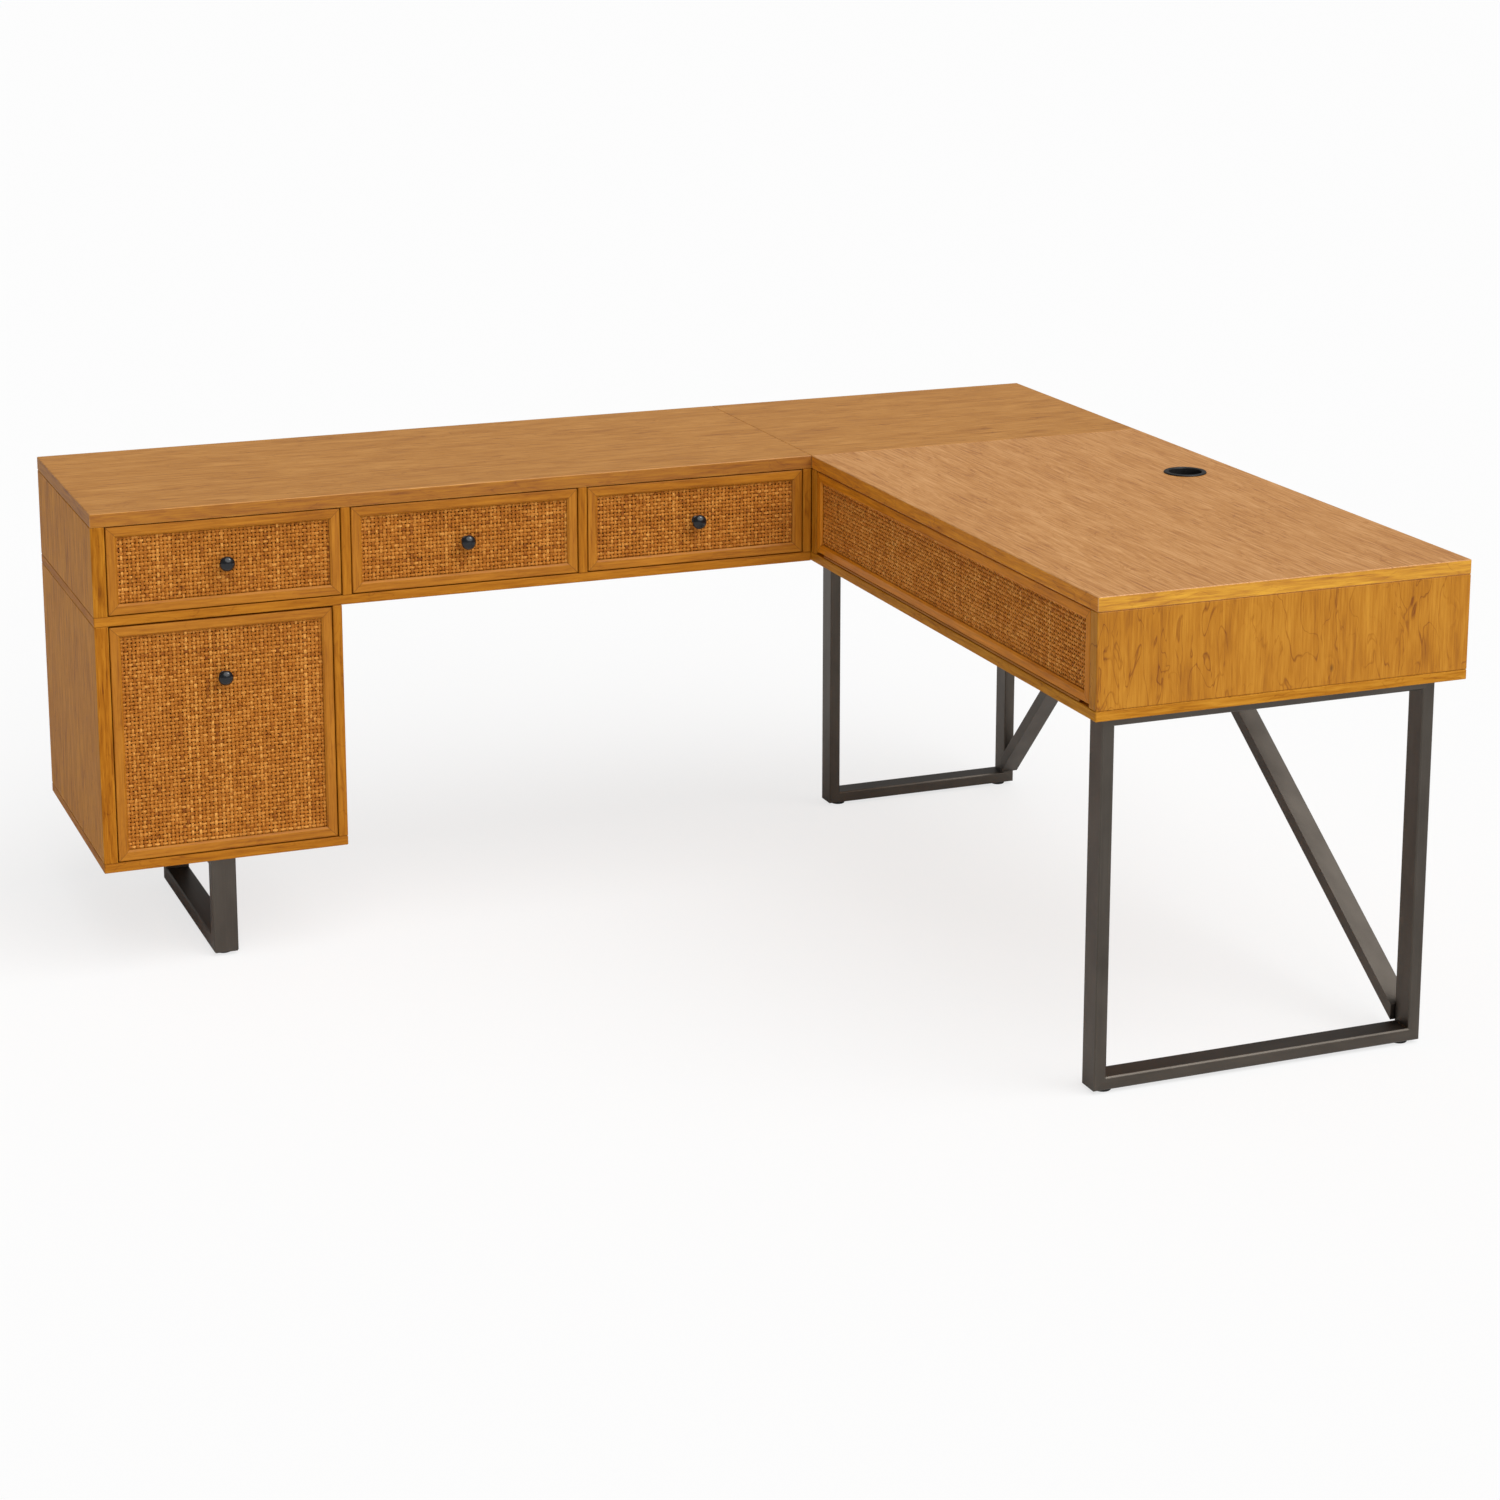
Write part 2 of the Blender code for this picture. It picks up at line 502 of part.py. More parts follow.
near_low = END_Y + FRAME_RECESS
near_high = near_low + TUBE_ACROSS
far_high = BACK_Y - FRAME_RECESS
far_low = far_high - TUBE_ACROSS
far_left = frame_right - FAR_FRAME_WIDTH
place("near_leg_frame", loop_mesh(frame_left, frame_right, FRAME_LOW, FRAME_TOP,
                                  tube_section(near_low, near_high, TUBE_FACE), "xz"), BRONZE)
place("far_leg_frame", loop_mesh(far_left, frame_right, FRAME_LOW, FRAME_TOP,
                                 tube_section(far_low, far_high, TUBE_FACE), "xz"), BRONZE)
sled_x = CABINET_WIDTH / 2
sled_front = FRAME_RECESS
sled_back = BACK_Y - FRAME_RECESS
place("cabinet_leg_frame", loop_mesh(sled_front, sled_back, FRAME_LOW, CABINET_CLEAR - GAP,
                                     tube_section(sled_x - TUBE_ACROSS / 2, sled_x + TUBE_ACROSS / 2, SLED_FACE),
                                     "yz"), BRONZE)


def brace(name, foot, toe):
    # Flat bar from the back of a leg up to a fixing plate under the case, drawn in (y, z).
    way = 1 if toe > foot else -1
    low = FRAME_LOW + TUBE_FACE + 0.001
    plate_low = FRAME_TOP - BRACE_PLATE
    run = abs(toe - foot)
    slope = (plate_low - low) / run
    upright = BRACE_THICK * math.sqrt(1 + slope * slope)
    heel = toe - way * upright / slope
    outline = [
        (foot, low), (toe, plate_low), (toe + way * BRACE_LIP, plate_low), (toe + way * BRACE_LIP, FRAME_TOP),
        (heel - way * BRACE_LIP, FRAME_TOP), (heel - way * BRACE_LIP, plate_low), (heel, plate_low),
        (foot, low + upright),
    ]
    middle = frame_right - TUBE_FACE / 2
    place(name, swept_mesh(outline, middle - BRACE_WIDTH / 2, middle + BRACE_WIDTH / 2, "x"), BRONZE)


brace("near_brace", near_high + GAP, BRACE_MEET - BRACE_HALF)
brace("far_brace", far_low - GAP, BRACE_MEET + BRACE_HALF)


def glide(name, x, y):
    outline = [
        (0.0, 0.0), (GLIDE_RADIUS - 0.0015, 0.0), (GLIDE_RADIUS, 0.0015),
        (GLIDE_RADIUS, GLIDE_HEIGHT - GAP), (0.0, GLIDE_HEIGHT - GAP),
    ]
    place(name, lathe_mesh(outline, (x, y, 0), "z", 32), PLASTIC, True)


glide_in = 0.024
near_y = (near_low + near_high) / 2
far_y = (far_low + far_high) / 2
glide("near_frame_glide_left", frame_left + glide_in, near_y)
glide("near_frame_glide_right", frame_right - glide_in, near_y)
glide("far_frame_glide_left", far_left + glide_in, far_y)
glide("far_frame_glide_right", frame_right - glide_in, far_y)
glide("cabinet_leg_glide_front", sled_x, sled_front + glide_in)
glide("cabinet_leg_glide_back", sled_x, sled_back - glide_in)
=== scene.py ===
# %% [markdown]
# # The looks of an L-shaped corner desk
# The desk is a honey-stained wooden case on dark bronze steel frames. Its drawer fronts are mitred frames
# round panels of woven raffia. The solid pieces arrive as a fixed frame that already has every size, so
# this lesson only adds looks: a finish for each wood, metal and plastic, and new geometry for the weave,
# the turned knobs and the fasteners. Each step says what the real piece is before it builds it.

# %% Load the frame
import math

import bmesh
import bpy
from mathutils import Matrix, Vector


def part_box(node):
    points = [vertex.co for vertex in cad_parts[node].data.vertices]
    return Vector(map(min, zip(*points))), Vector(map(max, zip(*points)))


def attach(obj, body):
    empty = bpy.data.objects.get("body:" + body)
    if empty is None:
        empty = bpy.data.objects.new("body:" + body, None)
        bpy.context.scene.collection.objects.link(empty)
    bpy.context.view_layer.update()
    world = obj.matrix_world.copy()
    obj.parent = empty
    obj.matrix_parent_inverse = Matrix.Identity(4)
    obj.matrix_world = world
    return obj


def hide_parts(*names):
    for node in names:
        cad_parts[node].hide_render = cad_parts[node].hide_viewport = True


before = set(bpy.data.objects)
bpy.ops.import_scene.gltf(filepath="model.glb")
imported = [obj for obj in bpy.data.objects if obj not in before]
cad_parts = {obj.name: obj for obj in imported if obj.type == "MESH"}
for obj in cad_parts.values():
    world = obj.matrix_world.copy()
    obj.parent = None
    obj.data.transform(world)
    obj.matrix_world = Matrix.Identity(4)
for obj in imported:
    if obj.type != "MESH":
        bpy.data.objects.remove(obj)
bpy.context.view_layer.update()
MM = 0.001

# %% [markdown]
# ## Camera
# Furniture like this is shot from standing height, off the left end, with a long lens, so that the top, the
# fronts and the knee space all show. The camera looks down a little and the lens is shifted a little, which
# keeps the upright edges nearly parallel. A camera in Blender looks along its own -Z, so a level camera is
# turned a quarter turn about X, less the angle it looks down.

# %% Camera
EYE = Vector((-1.805, -4.7448, 1.9076))
YAW = math.radians(21.622)
LOOK_DOWN = math.radians(12.293)
camera_data = bpy.data.cameras.new("studio_camera")
camera_data.lens = 79.39
camera_data.sensor_width = 36.0
camera_data.shift_y = -0.18
camera_data.clip_end = 200.0
camera = bpy.data.objects.new("studio_camera", camera_data)
camera.location = EYE
camera.rotation_euler = (math.pi / 2 - LOOK_DOWN, 0.0, -YAW)
bpy.context.scene.collection.objects.link(camera)
bpy.context.scene.camera = camera
print("camera", round((EYE - Vector((0, 0, 0.4))).length, 2), "m from the desk, lens", camera_data.lens, "mm")

# %% [markdown]
# ## Helpers used by every finish
# Colours are written as the hex values a paint chart would give. Those are sRGB, and shaders work in linear
# light, so one function converts them. Another adds a node, sets its options and fills or links its
# sockets, which keeps each node tree readable as a list of steps. Sums, changes of range, colour ramps and
# worn edges come back in most finishes, so each has a short helper of its own.

# %% Helpers for colours, nodes and objects


def linear(code):
    """An sRGB hex colour as the linear RGBA that shaders use."""
    shares = [int(code[k:k + 2], 16) / 255 for k in (1, 3, 5)]
    return tuple(s / 12.92 if s <= 0.04045 else ((s + 0.055) / 1.055) ** 2.4 for s in shares) + (1.0,)


def fill(tree, node, feeds):
    """Fills a node's sockets, given by name or number, with values, or links other sockets to them."""
    for key, value in feeds.items():
        if isinstance(value, bpy.types.NodeSocket):
            tree.links.new(value, node.inputs[key])
        else:
            node.inputs[key].default_value = value


def add(tree, kind, feeds=None, **options):
    """Adds a node, sets its options and fills its sockets."""
    made = tree.nodes.new(kind)
    for key, value in options.items():
        setattr(made, key, value)
    fill(tree, made, feeds or {})
    return made


def maths(tree, operation, *terms):
    """One Math node on the given numbers or sockets."""
    return add(tree, "ShaderNodeMath", dict(enumerate(terms)), operation=operation).outputs[0]


def remap(tree, value, low, high, to_low, to_high):
    """Takes a value from the range low to high into another range, and holds it inside."""
    return add(tree, "ShaderNodeMapRange", {0: value, 1: low, 2: high, 3: to_low, 4: to_high}).outputs[0]


def mix(tree, share, first, second, blend="MIX"):
    """The first colour where share is 0, and the second blended over it where share is 1."""
    return add(tree, "ShaderNodeMix", {0: share, 6: first, 7: second}, data_type="RGBA",
               blend_type=blend).outputs[2]


def ramp(tree, level, *stops):
    """A colour that changes with level. Each stop is a position and a linear colour, in rising order."""
    made = add(tree, "ShaderNodeValToRGB", {0: level})
    points = made.color_ramp.elements
    for k, (position, colour) in enumerate(stops):
        point = points[k] if k < 2 else points.new(position)
        point.position = position
        point.color = colour
    return made.outputs[0]


def noise(tree, place, stretch, detail=2.0, roughness=0.5, twist=0.0):
    """Smooth noise whose features are 1/stretch metres along each axis; returns a value from 0 to 1."""
    scaled = add(tree, "ShaderNodeMapping", {"Vector": place, "Scale": stretch}).outputs[0]
    return add(tree, "ShaderNodeTexNoise", {"Vector": scaled, "Scale": 1.0, "Detail": detail,
                                            "Roughness": roughness, "Distortion": twist}).outputs["Fac"]


def sums(tree, *terms):
    """The sum of factor * (value - 0.5) over all terms, as one socket."""
    total = None
    for value, factor in terms:
        centred = maths(tree, "SUBTRACT", value, 0.5)
        if total is None:
            total = maths(tree, "MULTIPLY", centred, factor)
        else:
            total = maths(tree, "MULTIPLY_ADD", centred, factor, total)
    return total


def edge_wear_and_highlight(tree, radius, strength):
    """The rounded normal, and a value for wear and painted edge highlight that reaches strength off the true
    normal.
    """
    rounded = add(tree, "ShaderNodeBevel", {"Radius": radius}, samples=3).outputs[0]
    true_normal = add(tree, "ShaderNodeNewGeometry").outputs["Normal"]
    same = add(tree, "ShaderNodeVectorMath", {0: rounded, 1: true_normal}, operation="DOT_PRODUCT")
    return rounded, remap(tree, same.outputs["Value"], 0.97, 0.80, 0.0, strength)


def new_finish(name):
    """A new material, its node tree and its shader."""
    made = bpy.data.materials.new(name)
    made.use_nodes = True
    return made, made.node_tree, made.node_tree.nodes["Principled BSDF"]


def put(name, data):
    """A new object in the scene for a mesh or a lamp."""
    made = bpy.data.objects.new(name, data)
    bpy.context.scene.collection.objects.link(made)
    return made


print("honey in linear light:", [round(v, 3) for v in linear("#C27F26")])

# %% [markdown]
# ## Studio
# A plain white cove and soft light. One very large soft source stands high in front and a little to the
# right, so the near end is the brightest upright face and the left side lives on fill light alone. It is a
# sun lamp with a wide angle, because that lights a wide floor evenly. The world gives the fill, and is
# dimmer than it looks to the camera, so that lacquer keeps its colour at grazing angles. The floor is
# painted to read as white, and shows only soft shadows.

# %% Floor and light
bpy.context.scene.view_settings.view_transform = "Standard"
FILL = 0.30
world = bpy.data.worlds.new("studio")
world.use_nodes = True
sky = world.node_tree
sky.nodes.clear()
seen = add(sky, "ShaderNodeLightPath")
lit = add(sky, "ShaderNodeBackground", {"Color": linear("#FFFFFF"), "Strength": FILL})
shown = add(sky, "ShaderNodeBackground", {"Color": linear("#FFFFFF"), "Strength": 1.0})
either = add(sky, "ShaderNodeMixShader",
             {0: seen.outputs["Is Camera Ray"], 1: lit.outputs[0], 2: shown.outputs[0]})
add(sky, "ShaderNodeOutputWorld", {"Surface": either.outputs[0]})
bpy.context.scene.world = world

HALF_FLOOR = 40.0
floor_mesh = bpy.data.meshes.new("studio_floor")
floor_mesh.from_pydata([(-HALF_FLOOR, -HALF_FLOOR, 0), (HALF_FLOOR, -HALF_FLOOR, 0),
                        (HALF_FLOOR, HALF_FLOOR, 0), (-HALF_FLOOR, HALF_FLOOR, 0)], [], [(0, 1, 2, 3)])
studio_floor = put("studio_floor", floor_mesh)
floor_paint = bpy.data.materials.new("white_cove_paint")
floor_paint.use_nodes = True
cove = floor_paint.node_tree
cove.nodes.clear()
seen = add(cove, "ShaderNodeLightPath")
bounce = add(cove, "ShaderNodeBsdfDiffuse", {"Color": linear("#F8F8F8")})
SHADOW_SHARE, GLOW = 0.26, 0.73
shadow = add(cove, "ShaderNodeBsdfDiffuse", {"Color": (SHADOW_SHARE,) * 3 + (1.0,)})
glow = add(cove, "ShaderNodeEmission", {"Color": linear("#FFFFFF"), "Strength": GLOW})
lifted = add(cove, "ShaderNodeAddShader", {0: shadow.outputs[0], 1: glow.outputs[0]})
either = add(cove, "ShaderNodeMixShader",
             {0: seen.outputs["Is Camera Ray"], 1: bounce.outputs[0], 2: lifted.outputs[0]})
add(cove, "ShaderNodeOutputMaterial", {"Surface": either.outputs[0]})
floor_mesh.materials.append(floor_paint)

KEY_HEIGHT = math.radians(49)
KEY_SIDE = math.radians(22)
key_data = bpy.data.lights.new("soft_key", "SUN")
key_data.energy = 2.75
key_data.angle = math.radians(70)
key = put("soft_key", key_data)
level = math.cos(KEY_HEIGHT)
from_key = Vector((math.sin(KEY_SIDE) * level, -math.cos(KEY_SIDE) * level, math.sin(KEY_HEIGHT)))
key.location = from_key * 6
key.rotation_euler = (-from_key).to_track_quat("-Z", "Y").to_euler()

# A lamp box high on the right puts the crisp highlight on the knobs. It is set to light gloss only, so the
# soft key keeps the shading to itself.
lamp_data = bpy.data.lights.new("lamp_box", "AREA")
lamp_data.energy = 45.0
lamp_data.size = 1.1
lamp = put("lamp_box", lamp_data)
LAMP_FROM, LAMP_TO = Vector((1.4, -1.4, 3.6)), Vector((-0.3, -0.2, 0.6))
lamp.location = LAMP_FROM
lamp.rotation_euler = (LAMP_TO - LAMP_FROM).to_track_quat("-Z", "Y").to_euler()
lamp.visible_diffuse = False
print("key light from", [round(v, 2) for v in from_key], "fill", FILL)

# %% [markdown]
# ## Stained wood under satin lacquer
# The case is a fine-grained hardwood such as cherry or alder, stained honey and sprayed with satin lacquer.
# Several things make it look like wood. Growth rings: a slow colour wave across the board, bent into flames
# where the saw cut runs flat to them. Fibres and streaks: about one and four millimetres wide and many
# times longer. Figure: large soft patches of tone, and thin curls where the grain dips round a bud. The
# near end panel has small knots too. All of it is drawn from the place inside the board, with X along the
# grain, so that the edge of a board carries the same figure as its face. Image textures would repeat and
# stop at the edges of a board.

# %% Grain direction
QUARTER = math.pi / 2
TURN_TO_GRAIN = {"X": (0.0, 0.0, 0.0), "Y": (0.0, 0.0, -QUARTER), "Z": (0.0, QUARTER, 0.0)}


def grain(tree, axis, offset):
    """The place in the board, turned so that X runs along the grain, and moved so no two boards match."""
    here = add(tree, "ShaderNodeTexCoord").outputs["Object"]
    turned = add(tree, "ShaderNodeMapping", {"Vector": here, "Rotation": TURN_TO_GRAIN[axis]}).outputs[0]
    return add(tree, "ShaderNodeMapping", {"Vector": turned, "Location": offset}).outputs[0]


def face_share(tree, axis):
    """1 on faces that look along an axis of the piece, and 0 on the others."""
    facing = add(tree, "ShaderNodeTexCoord").outputs["Normal"]
    parts = add(tree, "ShaderNodeSeparateXYZ", {0: facing})
    return maths(tree, "GREATER_THAN", maths(tree, "ABSOLUTE", parts.outputs[axis]), 0.8)


def pick(tree, share, first, second):
    """first where share is 0 and second where it is 1, for two vectors."""
    return add(tree, "ShaderNodeMix", {0: share, 4: first, 5: second}, data_type="VECTOR").outputs[1]


def board_grain(axis, offset, lipping=None):
    """A whole board: grain along one axis, and a lipping on its ends, whose grain runs along the lipping."""
    def lay(tree):
        body = grain(tree, axis, offset)
        if not lipping:
            return body, None
        ends = grain(tree, lipping, offset)
        return pick(tree, face_share(tree, axis), body, ends), None
    return lay


print("grain turns:", list(TURN_TO_GRAIN))

# %% The wood itself
# How many features a metre holds along the grain, and across it both ways.
RING_WANDER = (1.6, 9.0, 9.0)
RING_RIPPLE = (9.0, 60.0, 60.0)
KNOTS = (9.0, 17.0, 17.0)
FIBRES = (16.0, 900.0, 900.0)
STREAKS = (15.0, 270.0, 270.0)
PATCHES = (7.0, 34.0, 34.0)
CURLS = (11.0, 36.0, 36.0)
CURLY_PLACES = (7.0, 24.0, 24.0)
PORES = (45.0, 600.0, 600.0)
KNOT_BROWN = "#3A1C08"
LIPPING_ROUGHER = 0.2


def contour(tree, value, width):
    """A thin line wherever a value passes through one half: 1 on the line, falling to 0 at width."""
    away = maths(tree, "ABSOLUTE", maths(tree, "SUBTRACT", value, 0.5))
    return remap(tree, away, 0.0, width, 1.0, 0.0)


def wood(name, lay, tones, ring=9 * MM, flame=0.055, knots=0.0, contrast=1.0, mottle=0.7, curl=0.5,
         roughness=0.46, specular=0.5, lipped_and_shaded=()):
    """Stained wood. tones: three hex colours from dark to light. ring: ring width. flame: how far the rings
    wander. mottle and curl: strength of soft patches and of curly lines. lipped_and_shaded: (axis, tint)
    pairs that tint the faces that look along an axis, where the lipping takes the stain differently and
    shines less, and the tint also paints the deeper shade those faces show."""
    made, tree, shader = new_finish(name)
    place, joint_line = lay(tree)
    split = add(tree, "ShaderNodeSeparateXYZ", {0: place})
    # Rings: the distance across the board, pushed about by slow noise, and round each knot by a soft bump.
    wander = noise(tree, place, RING_WANDER, 2.0)
    ripple = noise(tree, place, RING_RIPPLE, 3.0, 0.6)
    across = maths(tree, "MULTIPLY_ADD", split.outputs["Z"], 0.7, split.outputs["Y"])
    pushed = maths(tree, "ADD", across, sums(tree, (wander, 2 * flame), (ripple, 1.3 * ring)))
    knot_core = None
    if knots:
        spaced = add(tree, "ShaderNodeMapping", {"Vector": place, "Scale": KNOTS}).outputs[0]
        to_knot = add(tree, "ShaderNodeTexVoronoi", {"Vector": spaced, "Scale": 1.0}).outputs["Distance"]
        near = add(tree, "ShaderNodeMapRange", {0: to_knot, 1: 0.0, 2: 0.32, 3: 1.0, 4: 0.0},
                   interpolation_type="SMOOTHERSTEP").outputs[0]
        pushed = maths(tree, "MULTIPLY_ADD", near, 2.2 * ring * knots, pushed)
        knot_core = remap(tree, to_knot, 0.02, 0.07, knots, 0.0)
    phase = maths(tree, "FRACT", maths(tree, "DIVIDE", pushed, ring))
    greys = [(position, (grey,) * 3 + (1.0,)) for position, grey in ((0.0, 0.0), (0.80, 1.0), (0.97, 0.1))]
    late = ramp(tree, phase, *greys)
    hair = noise(tree, place, FIBRES, 2.0, 0.6)
    streak = noise(tree, place, STREAKS, 3.0, 0.65, 0.3)
    patch = noise(tree, place, PATCHES, 3.0, 0.55, 0.4)
    # Curls: contour lines of a twisted noise, shown only in places, as where the grain dips round a bud.
    swirl = noise(tree, place, CURLS, 2.0, 0.5, 0.8)
    shown = remap(tree, noise(tree, place, CURLY_PLACES, 1.0), 0.38, 0.56, 0.0, 1.0)
    curls = maths(tree, "MULTIPLY", contour(tree, swirl, 0.018), shown)
    pore = remap(tree, noise(tree, place, PORES, 1.0), 0.64, 0.72, 0.0, 1.0)
    tone = sums(tree, (late, -0.22 * contrast), (hair, 0.7 * contrast), (streak, 1.5 * contrast),
                (patch, 1.1 * mottle), (curls, -0.5 * curl), (pore, -0.25 * contrast))
    dark, middle, light = (linear(code) for code in tones)
    paint = ramp(tree, maths(tree, "ADD", tone, 0.5 - 0.25 * curl), (0.0, dark), (0.5, middle), (1.0, light))
    for mark, depth in ((knot_core, 0.75), (joint_line, 0.7)):
        if mark is not None:
            paint = mix(tree, maths(tree, "MULTIPLY", mark, depth), paint, linear(KNOT_BROWN))
    gloss = remap(tree, hair, 0.2, 0.8, roughness - 0.05, roughness + 0.07)
    # Each tint is the lipping's own stain and also paints the shade on those edge faces.
    for axis, tint in lipped_and_shaded:
        share = face_share(tree, axis)
        paint = mix(tree, share, paint, linear(tint), "MULTIPLY")
        gloss = maths(tree, "MULTIPLY_ADD", share, LIPPING_ROUGHER, gloss)
    # Handled edges are rubbed a little lighter, and the same lightening paints the highlight that eased edges
    # catch.
    rounded, rubbed_and_highlit = edge_wear_and_highlight(tree, 1.4 * MM, 0.22)
    height = sums(tree, (hair, 0.6), (pore, -0.5), (late, 0.25))
    bump = add(tree, "ShaderNodeBump", {"Strength": 0.35, "Distance": 0.12 * MM, "Height": height,
                                        "Normal": rounded}).outputs[0]
    fill(tree, shader, {"Base Color": mix(tree, rubbed_and_highlit, paint, light), "Roughness": gloss, "Normal": bump,
                        "IOR": 1.48, "Specular IOR Level": specular})
    return made


print("wood fibres", round(1 / FIBRES[1] / MM, 1), "mm wide, streaks", round(1 / STREAKS[1] / MM, 1), "mm")

# %% [markdown]
# ## Which way the grain runs
# The long grain of each top follows its wing, and the two wings meet at seams that run out from the inner
# corner. Upright panels have upright grain. Ends of tops and bottom boards carry a thin lipping, so no end
# grain shows.

# %% Wood for tops, cases and boxes
# The tops' tones are paler and less saturated than the case's, which paints part of the lacquer's sheen into
# their colour; the right wing's top is paler still.
HONEY_SHEEN_TOP = ("#8E5316", "#BA7A28", "#D49648")
HONEY_SHEEN_TOP_RIGHT = ("#9C5C2A", "#C88944", "#E2A768")
HONEY_CASE = ("#7C4206", "#AE6D12", "#CA8826")
HONEY_END = ("#804508", "#B27213", "#CC8E2A")
HONEY_FRONT = ("#7C4006", "#A76610", "#BE7B1E")
# The long front faces the knee space and gets little of the key, so its tones are a lighter copy of the
# fronts' that paints light into its shade.
HONEY_LIT_LONG_FRONT = ("#914A06", "#C3750F", "#DE8D1C")
BIRCH = ("#B5894F", "#CFA873", "#DFC095")


def finish(node, material):
    """Gives a CAD node's material slots a new finish."""
    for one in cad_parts[node].material_slots:
        one.material = material


# Each board: the way its grain runs, the way its end lipping runs, its tones, and its streak contrast.
BOARDS = {
    "top_left_wing": ("X", "Y", HONEY_SHEEN_TOP, 1.0),
    "top_corner": ("X", "Y", HONEY_SHEEN_TOP, 1.0),
    "top_right_wing": ("Y", "X", HONEY_SHEEN_TOP_RIGHT, 1.0),
    "left_wing_bottom": ("X", "Y", HONEY_FRONT, 0.8),
    "left_wing_left_side": ("Z", None, HONEY_CASE, 1.3),
    "left_wing_back": ("Z", None, HONEY_CASE, 1.0),
    "drawer_divider_left": ("Z", None, HONEY_FRONT, 0.8),
    "drawer_divider_right": ("Z", None, HONEY_FRONT, 0.8),
    "left_wing_corner_side": ("Z", None, HONEY_FRONT, 0.8),
    "right_wing_bottom": ("Y", "X", HONEY_END, 0.8),
    "right_wing_outer_side": ("Z", None, HONEY_CASE, 1.0),
    "corner_back": ("Z", None, HONEY_CASE, 1.0),
    "tray_bay_far_side": ("Z", None, HONEY_CASE, 0.8),
    "cabinet_bottom": ("X", "Y", HONEY_FRONT, 0.8),
    "cabinet_left_side": ("Z", None, HONEY_CASE, 1.3),
    "cabinet_right_side": ("Z", None, HONEY_FRONT, 0.9),
    "cabinet_back": ("Z", None, HONEY_CASE, 1.0),
}
# The lipping takes the stain a little differently from the veneer of the faces, and each tint also paints the
# deeper, more saturated shade those edge faces show.
LIPPING_STAIN_AND_SHADE = {
    "top_left_wing": (("X", "#D8CA5E"), ("Y", "#D8C852")),
    "top_corner": (("X", "#D2C258"), ("Y", "#D2C258")),
    "top_right_wing": (("X", "#FFE344"), ("Y", "#FDFC70")),
    "left_wing_left_side": (("Y", "#E9E1C3"),),
    "cabinet_left_side": (("Y", "#E9DDBE"),),
}
for turn, (node, (axis, lipping, tones, contrast)) in enumerate(BOARDS.items()):
    lay = board_grain(axis, (0.37 * turn, 0.113 * turn, 0.071 * turn), lipping)
    is_top = node.startswith("top")
    finish(node, wood("stained_wood_" + node, lay, tones, contrast=contrast, specular=0.5 if is_top else 0.15,
                      roughness=0.44 if is_top else 0.6, lipped_and_shaded=LIPPING_STAIN_AND_SHADE.get(node, ())))
finish("right_wing_end_panel", wood(
    "stained_knotty_wood_end_panel", board_grain("Z", (0.21, 0.4, 0.0)), HONEY_END, ring=12 * MM, flame=0.03,
    knots=0.7, contrast=0.55, mottle=0.85, curl=0.9, specular=0.25, roughness=0.5))

# Each birch part: its finish, the way its grain runs, where in the log it is cut, and its roughness.
DRAWERS = ("drawer_left", "drawer_middle", "drawer_right")
BIRCH_PARTS = {
    "file_drawer_box": ("birch_file_box", "X", (0.9, 0.5, 0.1), 0.55),
    "keyboard_tray": ("birch_tray", "Y", (0.1, 0.9, 0.1), 0.5),
}
for turn, body in enumerate(DRAWERS):
    BIRCH_PARTS[body + "_box"] = ("birch_box_" + body, "X", (0.3 * turn, 0.2, 0.1), 0.55)
    BIRCH_PARTS[body + "_guide"] = ("birch_guide_" + body, "Y", (0.3 * turn, 0.6, 0.1), 0.55)
for node, (name, axis, offset, roughness) in BIRCH_PARTS.items():
    finish(node, wood(name, board_grain(axis, offset), BIRCH, contrast=0.6, roughness=roughness))
print("boards finished:", len(BOARDS) + 1, "stained and", len(BIRCH_PARTS), "birch")

# %% [markdown]
# ## Mitred frames
# Each front is a frame of four sticks, mitred at the corners, and the grain follows every stick. A point
# belongs to an upright when it is nearer to the left or right edge than to the top or bottom one, and the
# two distances are equal on the mitre itself. That one comparison turns the grain and also draws the fine
# glue line.

# %% Wood for the front frames
FRONTS = {**{body: "X" for body in DRAWERS}, "file_drawer": "X", "drop_front": "Y"}


def mitred_grain(node, wide, offset):
    """Grain for a mitred frame that is wide along X or Y and stands upright."""
    low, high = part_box(node)
    middle, half = (low + high) / 2, (high - low) / 2
    side = {"X": 0, "Y": 1}[wide]

    def lay(tree):
        here = add(tree, "ShaderNodeTexCoord").outputs["Object"]
        split = add(tree, "ShaderNodeSeparateXYZ", {0: here})
        reach = []
        for k in (side, 2):
            off_middle = maths(tree, "ABSOLUTE", maths(tree, "SUBTRACT", split.outputs[k], middle[k]))
            reach.append(maths(tree, "SUBTRACT", half[k], off_middle))
        over = maths(tree, "SUBTRACT", reach[1], reach[0])
        upright = maths(tree, "GREATER_THAN", over, 0.0)
        glue = remap(tree, maths(tree, "ABSOLUTE", over), 0.2 * MM, 0.6 * MM, 1.0, 0.0)
        rails = grain(tree, wide, offset)
        stiles = grain(tree, "Z", (offset[1], offset[2], offset[0]))
        return pick(tree, upright, rails, stiles), glue
    return lay


def frame_node(body):
    """The name of a front's mitred frame."""
    return "drop_front_frame" if body == "drop_front" else body + "_front_frame"


